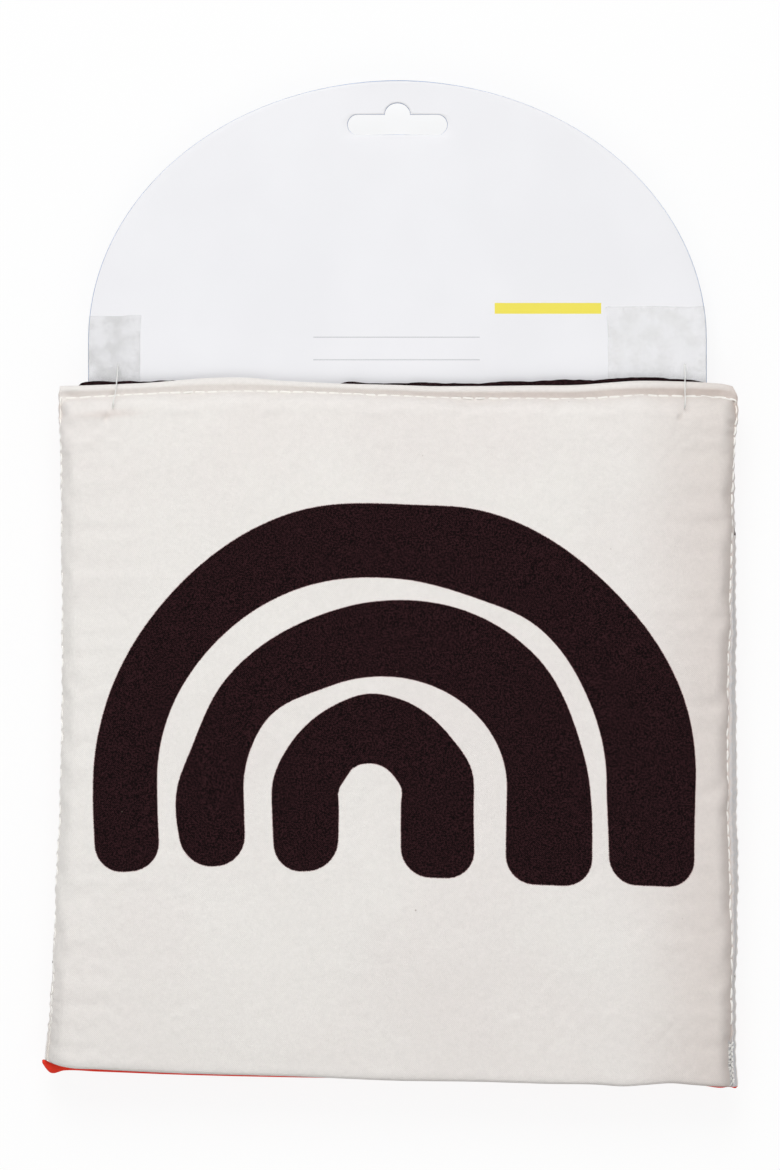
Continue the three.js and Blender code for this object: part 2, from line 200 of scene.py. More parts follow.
def ripple(place, pitch, seed):
    """A random wave along a line: a cubic through a random height at each pitch."""
    count = 600
    heights = np.random.default_rng(seed).uniform(-1, 1, count)
    step = place / pitch + count // 2
    i = np.clip(np.floor(step).astype(int), 1, count - 4)
    t = step - i
    a, b, c, d = (heights[i + k] for k in (-1, 0, 1, 2))
    return b + 0.5 * t * (c - a + t * (2 * a - 5 * b + 4 * c - d + t * (3 * (b - c) + d - a)))


def swell(x, y, size, seed):
    """Soft random hills: the mean of eight sine waves that cross in random directions."""
    waves = 8
    rng = np.random.default_rng(seed)
    total = 0
    for _ in range(waves):
        turn, phase, scale = rng.uniform(0, 2 * np.pi), rng.uniform(0, 2 * np.pi), rng.uniform(0.7, 1.5)
        total = total + np.sin(2 * np.pi * (x * np.cos(turn) + y * np.sin(turn)) / (size * scale) + phase)
    return total / waves


def soft_min(values, radius):
    """The least of several distances, rounded where two are alike: -r log(sum(exp(-d / r)))."""
    least = np.minimum.reduce(values)
    return least - radius * np.log(sum(np.exp((least - v) / radius) for v in values))


def soft_max(a, b, radius):
    """The greater of two distances, with a rounded corner of the radius given."""
    both = np.maximum(radius + a, 0), np.maximum(radius + b, 0)
    return np.minimum(np.maximum(a, b), -radius) + np.hypot(*both)


def graded(length, fine, coarse):
    """Places from 0 to a length, close together at both ends and even between."""
    middle = length - 2 * fine[-1]
    count = max(2, int(round(middle / coarse)))
    inner = fine[-1] + np.linspace(0, middle, count + 1)[1:-1]
    return np.concatenate([fine, inner, length - fine[::-1]])


def stacked(x, y, z):
    """Points from their three places, each an array or a number."""
    return np.stack(np.broadcast_arrays(x, y, z), axis=-1)


def twice(values):
    """The values of a grid's points for a body that has the grid on its upper and on its lower side."""
    return np.concatenate([values.ravel(), values.ravel()])


# Meshes


def new_piece(name, shape, body, slot, material, **attributes):
    """A smooth mesh from a shape's points and quads, with values on its points. It rides on a body, if one
    is given."""
    mesh = bpy.data.meshes.new(name)
    points = np.asarray(shape[0], dtype=np.float32).reshape(-1, 3)
    quads = np.asarray(shape[1], dtype=np.int32)
    mesh.vertices.add(len(points))
    mesh.vertices.foreach_set("co", points.ravel())
    mesh.loops.add(quads.size)
    mesh.loops.foreach_set("vertex_index", quads.ravel())
    mesh.polygons.add(len(quads))
    mesh.polygons.foreach_set("loop_start", np.arange(0, quads.size, quads.shape[1], dtype=np.int32))
    mesh.update(calc_edges=True)
    mesh.validate()
    mesh.polygons.foreach_set("use_smooth", np.ones(len(mesh.polygons), dtype=bool))
    for key, values in attributes.items():
        layer = mesh.attributes.new(key, "FLOAT", "POINT")
        layer.data.foreach_set("value", np.asarray(values, dtype=np.float32).ravel())
    mesh.materials.append(material)
    piece = bpy.data.objects.new(name, mesh)
    bpy.context.scene.collection.objects.link(piece)
    if body:
        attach(piece, body)
    return piece


def grid_quads(rows, cols, around=False, ends=False):
    """The quads of a grid of points, joined round its columns, and round its rows, where asked."""
    r = np.arange(rows if ends else rows - 1)[:, None]
    c = np.arange(cols if around else cols - 1)[None, :]
    r2, c2 = (r + 1) % rows, (c + 1) % cols
    corners = (r * cols + c, r * cols + c2, r2 * cols + c2, r2 * cols + c)
    return np.stack([np.broadcast_to(q, (r.size, c.size)) for q in corners], axis=-1).reshape(-1, 4)


def slab(top, bottom):
    """A closed body between two grids: the upper one, the lower one turned over, and a rim."""
    rows, cols = top.shape[:2]
    up = grid_quads(rows, cols)
    down = up[:, ::-1] + rows * cols
    index = np.arange(rows * cols).reshape(rows, cols)
    loop = np.concatenate([index[0, :-1], index[:-1, -1], index[-1, :0:-1], index[:0:-1, 0]])
    after = np.roll(loop, -1)
    rim = np.stack([after, loop, loop + rows * cols, after + rows * cols], axis=-1)
    return np.concatenate([top.reshape(-1, 3), bottom.reshape(-1, 3)]), np.concatenate([up, down, rim])


def band(upper, lower):
    """A closed band round a window: rings outwards over its upper side, and back over its lower side."""
    points = np.concatenate([upper, lower])
    return points, grid_quads(len(points), points.shape[1], around=True, ends=True)


def capped(rows, sides):
    """The quads of a tube's rings, with strips of quads over both of its ends."""
    caps = []
    for row in (0, rows - 1):
        ring = row * sides + np.arange(sides)
        strip = np.array([(ring[i], ring[i + 1], ring[-i - 2], ring[-i - 1]) for i in range(sides // 2 - 1)])
        caps.append(strip if row == 0 else strip[:, ::-1])
    return np.concatenate([grid_quads(rows, sides, around=True)[:, ::-1], *caps])


def tube(path, radius, sides, up, flat=1.0):
    """A tube: a circle of the radius, pressed flat by a share, carried along a path to small domed ends."""
    dome = ((0.98, 0.03), (0.7, 0.7))  # each end ring's place past the path and its radius, in radii
    tangent = np.gradient(path, axis=0)
    tangent /= np.linalg.norm(tangent, axis=1, keepdims=True)
    across = np.cross(tangent, up)
    across /= np.linalg.norm(across, axis=1, keepdims=True)
    over = np.cross(across, tangent) * flat
    start = [path[:1] - tangent[:1] * radius * out for out, _ in dome]
    end = [path[-1:] + tangent[-1:] * radius * out for out, _ in dome[::-1]]
    ends = [radius * share for _, share in dome]
    reach = np.concatenate([ends, radius * np.ones(len(path)), ends[::-1]])
    path = np.concatenate([*start, path, *end])
    across, over = (np.pad(v, ((2, 2), (0, 0)), "edge") for v in (across, over))
    angle = np.linspace(0, 2 * np.pi, sides, endpoint=False)[None, :, None]
    circles = across[:, None] * np.cos(angle) + over[:, None] * np.sin(angle)
    points = path[:, None] + reach[:, None, None] * circles
    return points.reshape(-1, 3), capped(len(path), sides)


def gather(parts):
    """Several bodies of points and quads as one."""
    points, quads, count = [], [], 0
    for some_points, some_quads in parts:
        points.append(some_points)
        quads.append(some_quads + count)
        count += len(some_points)
    return np.concatenate(points), np.concatenate(quads)


def cubic_shares(t):
    """The four weights of a cubic that passes through evenly spaced values."""
    squared, cubed = t * t, t * t * t
    return (
        (2 * squared - t - cubed) / 2,
        (2 - 5 * squared + 3 * cubed) / 2,
        (t + 4 * squared - 3 * cubed) / 2,
        (cubed - squared) / 2,
    )


def sample(field, x, y):
    """Values between the points of a coarse grid over the plain square: cubics along both of its axes."""
    rows, cols = field.shape[:2]
    u = np.clip((x + HALF) / (2 * HALF), 0, 1) * (cols - 1)
    v = np.clip(y / HEIGHT, 0, 1) * (rows - 1)
    i, j = np.minimum(u.astype(int), cols - 2), np.minimum(v.astype(int), rows - 2)
    total = 0
    for a, row_share in enumerate(cubic_shares(v - j)):
        for b, col_share in enumerate(cubic_shares(u - i)):
            spot = field[np.clip(j + a - 1, 0, rows - 1), np.clip(i + b - 1, 0, cols - 1)]
            total = total + spot * (row_share * col_share)[..., None]
    return total


class PanelShape:
    """A padded panel over a plain square: x runs across, y from the fold. Depth is measured from the
    outer face inwards, so the face that closes on the other panel is at the panel's thickness."""

    FOLD_NARROWER, RIGHT_NARROWER = 8, 1.3  # the roll of filling, against the left and the top
    FOLD_LINE = 0.3 * MM  # where the roll starts along the fold
    ROUND = 1.3 * MM  # of the stitch line's corners
    CLIMB = 26 * MM  # from the fold to where the seam is level
    FOLD_DEPTH = 10.5 * MM  # of the seam at the fold
    TOP_DEPTH = 9.8 * MM  # of the back's top lip, which lies on the card
    HIDDEN = 0.12 * MM  # from the seam's middle to the hidden side of each cloth
    PITCH = 3.9 * MM  # of the scallops and puckers that the stitches draw in

    def __init__(self, sizes, seed, fold_edge, crown, turned, trim=0.0):
        self.sizes, self.seed, self.fold_edge = sizes, seed, fold_edge
        self.crown, self.turned, self.trim = crown, turned, trim
        self.moved = None

    def edges(self, x, y):
        """Distances inwards from the stitch line on the left, on the right and at the top, and from the
        fold, which counts several times because the roll is that much narrower there."""
        lip = self.sizes.lip_width
        return x + HALF - lip, HALF - lip - x, HEIGHT - lip - y, (y - self.FOLD_LINE) * self.FOLD_NARROWER

    def from_side(self, x, y):
        """Distance inwards from the nearer of the two side stitch lines."""
        left, right, _, _ = self.edges(x, y)
        return np.minimum(left, right)

    def inwards(self, x, y):
        """The least of the four distances, rounded where two meet."""
        left, right, top, fold = self.edges(x, y)
        return soft_min((left, right * self.RIGHT_NARROWER, top, fold), self.ROUND)

    def climbed(self, x, y):
        """Share of the way up the roll: 1 - (1 - t)^fullness over its width."""
        share = np.clip(self.inwards(x, y) / self.sizes.edge_roll, 0, 1)
        return 1 - (1 - share) ** self.sizes.fullness

    def visible_lip(self, x, y):
        """Width of the lip that shows from above at the sides."""
        if not self.turned:
            return np.full(np.shape(x), FLAP_LIP)
        return np.where(x < 0, along(LEFT_LIP, y), along(RIGHT_LIP, y))

    def wave(self, place, pitch, seed, inside, reach):
        """A random wave along a seam, which fades with the distance inside it."""
        return ripple(place, pitch, self.seed + seed) * fade(inside, reach)

    @staticmethod
    def up_sides(x, y, apart):
        """Places up both sides for a random wave. The left one's are further on, so that the two differ."""
        return y + np.where(x < 0, apart, 0)

    def seam(self, x, y):
        """Depth of the seam between a panel's two cloths: half the thickness, and deeper by the fold. Past
        the side stitches the lip hangs down by what is left of its width, and it waves a little. Down is
        outwards on the flap. The back's top lip lies on the card."""
        lip = self.sizes.lip_width
        top = self.edges(x, y)[2]
        side = self.from_side(x, y)
        hang = np.sqrt(np.maximum(lip**2 - self.visible_lip(x, y) ** 2, 0)) * np.clip(-side / lip, 0, 1)
        up = self.up_sides(x, y, apart=500 * MM)
        wave = 0.4 * MM * self.wave(up, pitch=6 * MM, seed=0, inside=side, reach=4 * MM)
        wave = wave + 0.45 * MM * self.wave(x, pitch=9 * MM, seed=1, inside=top, reach=4 * MM)
        drop = 1 if self.turned else -0.6
        depth = mix(self.FOLD_DEPTH, THICK / 2 + drop * hang + wave, smooth(0, self.CLIMB, y))
        if not self.turned:
            return depth
        return mix(depth, self.TOP_DEPTH + 0.6 * wave, smooth(16 * MM, 0, top))

    def rounding(self, x, y):
        """Share of the lip cloth's thickness at a place: a quarter circle that closes at the outline."""
        out = np.minimum.reduce([x + HALF, HALF - x, HEIGHT - y, y])
        return np.sqrt(1 - (1 - np.clip(out / (0.6 * MM), 0, 1)) ** 2)

    def flat(self, x, y):
        """Depth of the outer face inside the roll: a crown (1 - x^2)(1 - y^2) over the square and, on the
        back, slopes exp(-d / reach) down to the top and to the fold."""
        to_side, to_end = np.abs(x) / HALF, np.abs(y - MIDDLE) / MIDDLE
        bow = (1 - np.clip(to_side, 0, 1) ** 2) * (1 - np.clip(to_end, 0, 1) ** 2)
        if not self.turned:
            return -self.crown * bow
        top = self.edges(x, y)[2]
        return 2.4 * MM * fade(top, 20 * MM) + 1.2 * MM * fade(y, 2.2 * MM) - self.crown * bow

    def lift(self, x, y):
        """How far the outer face stands up: puckers are random waves along a seam that fade inwards,
        hills are uneven filling, and creases fan out of the top corners."""
        sizes = self.sizes
        _, _, top, fold = self.edges(x, y)
        side, up = self.from_side(x, y), self.up_sides(x, y, apart=700 * MM)
        puckers = self.wave(up, sizes.pucker_pitch, seed=2, inside=side, reach=8 * MM)
        puckers = puckers + self.wave(x, sizes.pucker_pitch, seed=3, inside=top, reach=5 * MM)
        puckers = puckers + 0.6 * self.wave(x, pitch=11 * MM, seed=4, inside=fold, reach=9 * MM)
        puckers = puckers * np.clip(self.inwards(x, y) / (3 * MM), 0, 1)
        across, down = HALF - np.abs(x), HEIGHT - y
        creases = np.cos(9 * np.arctan2(down, across) + np.sign(x))
        fan = creases * bell(np.hypot(across, down) - 8 * MM, 4 * MM)
        hills = 0.9 * swell(x, y, 55 * MM, self.seed + 5) + 0.25 * swell(x, y, 24 * MM, self.seed + 6)
        return sizes.pucker_height * (puckers + fan) + sizes.hill_height * hills * self.climbed(x, y)

    def outer(self, x, y):
        """Depth of the outer face: from the lip up the roll to the flat, less what stands up, with a groove
        for the thread. The lip's turned-in cloth makes it stand up too."""
        inwards = self.inwards(x, y)
        depth = mix(self.seam(x, y) - CLOTH - self.HIDDEN - 0.03 * MM, self.flat(x, y), self.climbed(x, y))
        out = np.clip(-inwards / self.sizes.lip_width, 0, 1)
        turned_in = self.sizes.lip_height * np.sin(np.pi * out**1.5) ** 2
        groove = 0.3 * MM * bell(inwards, 0.7 * MM)
        depth = depth - self.lift(x, y) - turned_in + groove
        return mix(self.seam(x, y) - self.HIDDEN - 0.04 * MM, depth, self.rounding(x, y))

    def filling(self, x, y, inside):
        """Depth of the filling's far side: along the seam at the lip, and at the depth given inside."""
        return mix(self.seam(x, y) - self.HIDDEN, inside, self.climbed(x, y))

    def inner_back(self, x, y):
        """Depth of the inner cloth's hidden side."""
        return mix(self.seam(x, y) + self.HIDDEN, THICK - CLOTH, self.climbed(x, y))

    def inner(self, x, y, most=0.1 * MM):
        """Depth of the inner cloth's face, a cloth's thickness on, and flatter than the outer face. It
        passes the panel's thickness by the most given."""
        back = self.inner_back(x, y)
        by_seam = fade(np.minimum(self.from_side(x, y), self.edges(x, y)[2]), 5 * MM)
        waves = ripple(y, self.PITCH, self.seed + 8) + ripple(x, self.PITCH, self.seed + 9)
        puckers = 0.16 * MM * by_seam * waves
        hills = 0.2 * MM * swell(x, y, 40 * MM, self.seed + 7) * self.climbed(x, y)
        face = back + CLOTH + puckers + hills - 0.1 * MM
        face = np.clip(face, back + 0.25 * MM, THICK + most)
        return mix(back + 0.03 * MM, face, self.rounding(x, y))

    def place(self, x, y, depth, past_right=0.0, past_top=None):
        """World points for places on the plain square. The square's edges move to the photographed ones,
        and the stitch line moves so that the lip shows its real width."""
        lip, out = self.sizes.lip_width, HALF - np.abs(x)
        half = HALF + self.trim
        edge = np.where(x < 0, along(LEFT_EDGE, y) + half, along(RIGHT_EDGE, y) - half)
        to_side = np.clip(np.abs(x) / HALF, 0, 1) ** 2
        pushed = (lip - self.visible_lip(x, y)) * self.tent(out)
        scallop = 0.2 * np.sin(2 * np.pi * y / self.PITCH) + 0.25 * ripple(y, 6.1 * MM, self.seed + 10)
        scallop = scallop * MM * smooth(9 * MM, 0, out) * smooth(0, 15 * MM, y)
        beyond = past_right * smooth(0.6, 1, x / HALF) * smooth(HEIGHT - 12 * MM, HEIGHT - 50 * MM, y)
        wide = x + edge * to_side + np.sign(x) * (pushed + scallop) + beyond
        shown = (lip - along(TOP_LIP, wide)) * self.tent(HEIGHT - y) if self.turned else 0
        peek = past_top(wide) if past_top else 0
        reach = 45 * MM  # how far in from the top and from the fold their edges bend the square
        top = (along(TOP_EDGE, wide) + peek - self.trim) * smooth(HEIGHT - reach, HEIGHT, y)
        fold = along(self.fold_edge, wide) * (1 - smooth(0, reach, y))
        return stacked(wide, y + fold + top + shown + FOLD_Y, CLOSED - depth if self.turned else depth)

    def tent(self, out):
        """0 at the outline, 1 at the stitch line, and back to 0 at 22 mm inside."""
        lip = self.sizes.lip_width
        return np.clip(out / lip, 0, 1) * (1 - smooth(lip, 22 * MM, out))

    def puff(self):
        """Cloth simulation of the outer face. The lip is held, the flat is held softly, and pressure works
        on cloth cut a little larger, so that it gathers along the seam. Keeps how far each point moves."""
        x, y = np.meshgrid(np.linspace(-HALF, HALF, 91), np.linspace(0, HEIGHT, 93))
        start = self.place(x, y, self.outer(x, y))
        inwards, climbed = self.inwards(x, y), self.climbed(x, y)
        held = np.where(inwards < 1 * MM, 1.0, 0.05 + 0.3 * climbed**4)
        moved = cloth_moves(start, held, self.turned, self.sizes) * (inwards > 0)[..., None]
        far = np.linalg.norm(moved, axis=-1, keepdims=True)
        self.moved = moved * np.minimum(1, self.sizes.puff_cap / np.maximum(far, 1e-9))

    def outer_points(self, x, y, dips=0.0):
        """World points of the outer face, deeper by the dips, and then moved as the simulation moved it."""
        points = self.place(x, y, self.outer(x, y) + dips)
        return points if self.moved is None else points + sample(self.moved, x, y)


def cloth_moves(start, held, upwards, sizes, frames=20, levels=20):
    """Runs a cloth simulation on a grid of points and gives how far each one moved. How firmly a point is
    held goes by steps, because a vertex group takes one weight at a time."""
    scene = bpy.context.scene
    quads = grid_quads(*start.shape[:2])
    mesh = bpy.data.meshes.new("puff")
    mesh.from_pydata(start.reshape(-1, 3).tolist(), [], (quads if upwards else quads[:, ::-1]).tolist())
    sheet = bpy.data.objects.new("puff", mesh)
    scene.collection.objects.link(sheet)
    group = sheet.vertex_groups.new(name="held")
    weights = np.round(held.ravel() * levels) / levels
    for weight in np.unique(weights):
        group.add(np.flatnonzero(weights == weight).tolist(), float(weight), "REPLACE")
    cloth = sheet.modifiers.new("cloth", "CLOTH")
    for key, value in {
        "quality": 5,
        "mass": 0.3,
        "tension_stiffness": 12,
        "compression_stiffness": 12,
        "shear_stiffness": 4,
        "bending_stiffness": 0.05,
        "shrink_min": -sizes.spare_cloth,
        "shrink_max": -sizes.spare_cloth,
        "vertex_group_mass": "held",
        "pin_stiffness": 1.0,
        "use_pressure": True,
        "uniform_pressure_force": 4,
    }.items():
        setattr(cloth.settings, key, value)
    cloth.settings.effector_weights.gravity = 0
    cloth.collision_settings.use_collision = False
    cloth.point_cache.frame_start, cloth.point_cache.frame_end = 1, frames
    for step in range(1, frames + 1):
        scene.frame_set(step)
    done = sheet.evaluated_get(bpy.context.evaluated_depsgraph_get())
    ended = np.empty(start.size, dtype=np.float32)
    done.data.vertices.foreach_get("co", ended)
    scene.frame_set(1)
    bpy.data.objects.remove(sheet)
    bpy.data.meshes.remove(mesh)
    return ended.reshape(start.shape) - start


# Distances inwards from an outline where a panel's mesh has its lines, close together up to the roll
LIP_STEPS = [0, 0.1, 0.3, 0.6, 1.0, 1.5, 2.0, 2.5, 2.9, 3.2, 3.4, 3.6, 3.9, 4.4, 5, 5.8, 6.8, 8, 9.3]
FINE = np.concatenate([LIP_STEPS, np.arange(10.2, 24, 0.85)]) * MM


def panel_grid(coarse):
    """A grid over the plain square, fine round its edge, with its corners rounded row by row."""
    xs = graded(2 * HALF, FINE, coarse) - HALF
    ys = graded(HEIGHT, FINE, coarse)
    x, y = np.meshgrid(xs, ys)
    to_end = np.minimum(np.minimum(y, HEIGHT - y), CORNER)
    drawn = CORNER - np.sqrt(np.maximum(CORNER**2 - (CORNER - to_end) ** 2, 0))
    return x * (HALF - drawn) / HALF, y


def ring_points(half_width, low, high, corner, steps, corner_steps):
    """Points of a rounded rectangle, anticlockwise from its lower right corner, evenly along each side."""
    turn = np.linspace(0, np.pi / 2, corner_steps, endpoint=False)
    side = np.linspace(0, 1, steps, endpoint=False)
    inner = half_width - corner
    bottom, top = low + corner, high - corner
    centres = [(inner, bottom), (inner, top), (-inner, top), (-inner, bottom)]
    x, y = [], []
    for i, (cx, cy) in enumerate(centres):
        next_x, next_y = centres[(i + 1) % 4]
        last = i * np.pi / 2
        angle = turn + last - np.pi / 2
        x += [cx + corner * np.cos(angle), mix(cx, next_x, side) + corner * np.cos(last)]
        y += [cy + corner * np.sin(angle), mix(cy, next_y, side) + corner * np.sin(last)]
    return np.concatenate(x), np.concatenate(y)


def window_ring(inset, steps, corner_steps):
    """Points all round the window, on the plain square, at a distance inside its edge."""
    half_width, half_height = (side - inset for side in WINDOW)
    low, high = MIDDLE - half_height, MIDDLE + half_height
    return ring_points(half_width, low, high, WINDOW_CORNER - inset, steps, corner_steps)


def face_ring(across, steps=190, corner_steps=30):
    """Rings from the window's edge to the panel's outline, on the plain square."""
    out_x, out_y = ring_points(HALF, 0, HEIGHT, CORNER, steps, corner_steps)
    in_x, in_y = window_ring(0, steps, corner_steps)
    share = across[:, None]
    return mix(in_x, out_x, share), mix(in_y, out_y, share)


# The print on the back: three plain arches, one inside the other, with gently cut edges


class Oval(NamedTuple):
    """A half-oval on straight legs, in millimetres in the frame."""

    middle: float
    half: float
    top: float
    start: float  # where the oval stands on its legs


class Arch(NamedTuple):
    """A printed arch: its two edges, and where its legs end."""

    outer: Oval
    inner: Oval
    left_end: float
    right_end: float


ARCHES = (
    Arch(Oval(-0.5, 95.7, 24.9, -64.7), Oval(-5.5, 71.2, 0.9, -64.7), -94.1, -98.6),
    Arch(Oval(-3.5, 65.1, -7.1, -67.9), Oval(-7.5, 41.9, -31.7, -67.9), -92.4, -98.3),
    Arch(Oval(-8.0, 32.2, -37.5, -71.1), Oval(-8.8, 10.2, -59.2, -71.1), -94.0, -95.9),
)


def oval_distance(x, y, oval, seed, cut):
    """Distance outside a half-oval on straight legs. Past the oval it is p(1 - 1/q), q = |(x/a, y/b)|, and
    beside the legs |x| - a. Its edge goes gently in and out through random knots, as if cut by hand."""
    a, b = oval.half * MM, oval.top * MM - oval.start * MM
    dx, dy = x - oval.middle * MM, y - oval.start * MM
    q = np.hypot(dx / a, dy / b) + 1e-9
    past_oval = np.hypot(dx, dy) * (1 - 1 / q)
    past_legs = np.abs(dx) - a
    turn = np.arctan2(np.maximum(dy, 0), dx)
    down = dy / (55 * MM)
    place = np.where(dy > 0, turn, np.where(dx > 0, down, np.pi - down))
    rng = np.random.default_rng(seed)
    knots = np.sort(np.concatenate([[-2, 5.2], np.linspace(-0.9, 4.1, 13) + rng.uniform(-0.13, 0.13, 13)]))
    wobble = along(np.stack([knots, rng.uniform(-1, 1, 15)], axis=-1), place)
    return np.where(dy > 0, past_oval, past_legs) + wobble * cut * np.clip(a / (60 * MM), 0.25, 1)


def arches_distance(x, y):
    """Signed distance to the printed arches, below zero inside: the least over the three. Each is what
    lies inside its outer edge, outside its inner edge and above its legs' slanted, rounded ends."""
    nearest = []
    for i, arch in enumerate(ARCHES):
        outer = oval_distance(x, y, arch.outer, 11 + i, 1.7 * MM)
        inner = oval_distance(x, y, arch.inner, 31 + i, 1.5 * MM)
        left = x < arch.inner.middle * MM
        end = np.where(left, arch.left_end * MM, arch.right_end * MM)
        foot = np.where(left, arch.outer.middle - arch.outer.half, arch.outer.middle + arch.outer.half) * MM
        slant = np.where(left, 0.06, -0.04) * (x - foot)
        legs = soft_max(outer, -inner, 2.5 * MM)
        nearest.append(soft_max(legs, end + slant - y, 9 * MM))
    return np.minimum.reduce(nearest)


# Materials


class Nodes:
    """A short way to write nodes: each call makes a node and gives one of its outputs."""

    def __init__(self, owner):
        owner.use_nodes = True
        self.tree = owner.node_tree

    def feed(self, socket, value):
        """Links a socket to another node's output, or sets it to a number or a colour."""
        if hasattr(value, "node"):
            self.tree.links.new(value, socket)
        else:
            socket.default_value = value

    def node(self, kind, inputs=None, output=0, **settings):
        made = self.tree.nodes.new(kind)
        for key, value in settings.items():
            setattr(made, key, value)
        for key, value in (inputs or {}).items():
            self.feed(made.inputs[key], value)
        return made.outputs[output]

    def axes(self, vector):
        return self.node("ShaderNodeSeparateXYZ", {0: vector}).node.outputs

    def ray(self, kind):
        return self.node("ShaderNodeLightPath", output=kind)

    def math(self, operation, a, b=0.0, c=0.0):
        return self.node("ShaderNodeMath", {0: a, 1: b, 2: c}, operation=operation)

    def spread(self, value, low, high, to_low=0.0, to_high=1.0):
        """A smooth step between two values, over the range from low to high."""
        return self.node(
            "ShaderNodeMapRange",
            {0: value, 1: low, 2: high, 3: to_low, 4: to_high},
            interpolation_type="SMOOTHSTEP",
        )


class Finish(Nodes):
    """A material of one principled shader. The colour and roughness given are what it has all over, until
    a pattern is set on them."""

    def __init__(self, name, color, rough, **sockets):
        self.material = bpy.data.materials.new(name)
        super().__init__(self.material)
        self.shader = self.tree.nodes["Principled BSDF"]
        self.set("Base Color", (*color, 1))
        self.set("Roughness", rough)
        for key, value in sockets.items():
            self.set(key.replace("_", " "), value)
        self.material.diffuse_color = (*color, 1)

    def set(self, socket, value):
        self.feed(self.shader.inputs[socket], value)

    def place(self):
        return self.node("ShaderNodeTexCoord", output="Object")

    def attribute(self, name):
        return self.node("ShaderNodeAttribute", output="Fac", attribute_name=name)

    def blend(self, share, a, b, mode="MIX"):
        a, b = (v if hasattr(v, "node") else (*v, 1) for v in (a, b))
        return self.node("ShaderNodeMix", {0: share, 6: a, 7: b}, 2, data_type="RGBA", blend_type=mode)

    def noise(self, scale, detail=2.0):
        return self.node("ShaderNodeTexNoise", {"Vector": self.place(), "Scale": scale, "Detail": detail})

    def bump(self, height, distance, strength=1.0, **under):
        inputs = {"Height": height, "Distance": distance, "Strength": strength, **under}
        return self.node("ShaderNodeBump", inputs)


def linear(color):
    """A colour as it is seen on a screen, turned to the linear values that shaders take."""
    c = np.array(color)
    return tuple(np.where(c <= 0.04045, c / 12.92, ((c + 0.055) / 1.055) ** 2.4))


def shaded(color, share, lift=0.0):
    """A colour at a share of its light, and a little lifted."""
    return tuple(v * share + lift for v in color)


def canvas(name, ground, tint, prints=(), flecks=None, warm=None, lip_shade=None):
    """Plain-woven cotton canvas. Two sets of thread waves cross and take turns on top. Each print is an
    attribute, a dye and a rim that it bleeds, and is dyed in where the attribute is below zero, with an edge
    that the threads roughen. Flecks are a colour and a share. One attribute blends in painted shade, a darker
    beige along the sewn edges, and another blends in painted shade, a cool grey on the right-hand lip."""
    n = Finish(name, ground, 0.92, Sheen_Weight=0.03, Sheen_Roughness=0.5, Specular_IOR_Level=0.12)
    place = n.place()
    x, y, _ = n.axes(place)
    thread = 0.62 * MM
    turns = 2 * math.pi / thread
    uneven = n.math("MULTIPLY", n.noise(240.0), 2.2)
    warp, weft = (n.math("SINE", n.math("MULTIPLY_ADD", axis, turns, uneven)) for axis in (x, y))
    over = n.math("MULTIPLY", warp, weft)
    fuzz = n.noise(2600.0, 1.0)
    weave = n.math("MULTIPLY_ADD", over, 0.5, fuzz)
    height = n.math("MULTIPLY_ADD", n.noise(700.0), 1.2, weave)
    n.set("Normal", n.bump(height, 0.09 * MM, 0.75))

    tone = n.blend(n.spread(n.noise(14.0, 3.0), 0.35, 0.68), ground, tint)
    # painted shade: a darker beige along the sewn edges and in the fold under the left tag, and a little
    # darker by the fold
    if warm:
        tone = n.blend(n.attribute("warm"), tone, warm)
    for attribute, dye, rim in prints:
        edge = n.math("MULTIPLY_ADD", n.math("SUBTRACT", fuzz, 0.5), 0.35 * MM, n.attribute(attribute))
        edge = n.math("MULTIPLY_ADD", over, 0.05 * MM, edge)
        if rim:
            tone = n.blend(n.spread(edge, 0.35 * MM, -0.1 * MM, 0.0, 0.6), tone, rim)
        # ink rubbed lighter on the raised threads
        wear_and_lip_shade = n.spread(n.math("MULTIPLY_ADD", n.noise(2100.0), 4.0, weave), 2.1, 3.1)
        ink = n.blend(wear_and_lip_shade, shaded(dye, 0.15), shaded(dye, 2.5, 0.001))
        tone = n.blend(n.spread(edge, 0.1 * MM, -0.12 * MM), tone, ink)
    # painted shade: a speckled cool grey on the right-hand lip where it turns down away from the light
    if lip_shade:
        speckled = n.math("MULTIPLY", n.math("ADD", n.noise(900.0), 0.3), n.attribute("edging"))
        tone = n.blend(n.spread(speckled, 0.2, 0.75), tone, lip_shade)
    # painted shade in the weave: the hollows between threads darker and the raised threads lighter, along
    # with coarser tone that differs at random
    threads = n.spread(height, 0.2, 1.9, 0.93, 1.05)
    grey = n.node("ShaderNodeCombineColor", {0: threads, 1: threads, 2: threads})
    tone = n.blend(1.0, tone, grey, "MULTIPLY")
    if flecks:
        fleck, share = flecks
        spots = n.node("ShaderNodeTexVoronoi", {"Vector": place, "Scale": 85.0, "Randomness": 1.0})
        some = n.spread(n.noise(60.0, 0.0), 0.52, 0.56)
        mark = n.math("MULTIPLY", n.spread(spots, 0.035, 0.012), n.math("MULTIPLY", some, share))
        tone = n.blend(mark, tone, fleck)
    n.set("Base Color", tone)
    return n.material


def printed_canvas(name, colours, attribute):
    """Cream canvas with a dark print, for the two faces that close on each other."""
    prints = [(attribute, colours.print, None)]
    return canvas(name, colours.cream, colours.tint, prints, flecks=(colours.fleck, 0.2))


def red_canvas(name, colours):
    return canvas(name, colours.red, colours.red_tint)


def plain_thread(name, color):
    """Sewing thread: a soft sheen, and two plies that wind round each other as a fine slanted bump."""
    n = Finish(name, color, 0.7, Sheen_Weight=0.3)
    twist = n.node("ShaderNodeTexWave", {"Vector": n.place(), "Scale": 900.0, "Distortion": 2.0}, "Fac")
    n.set("Normal", n.bump(twist, 0.05 * MM, 0.6))
    n.set("Base Color", n.blend(n.noise(500.0), color, shaded(color, 0.9)))
    return n.material


# Settings


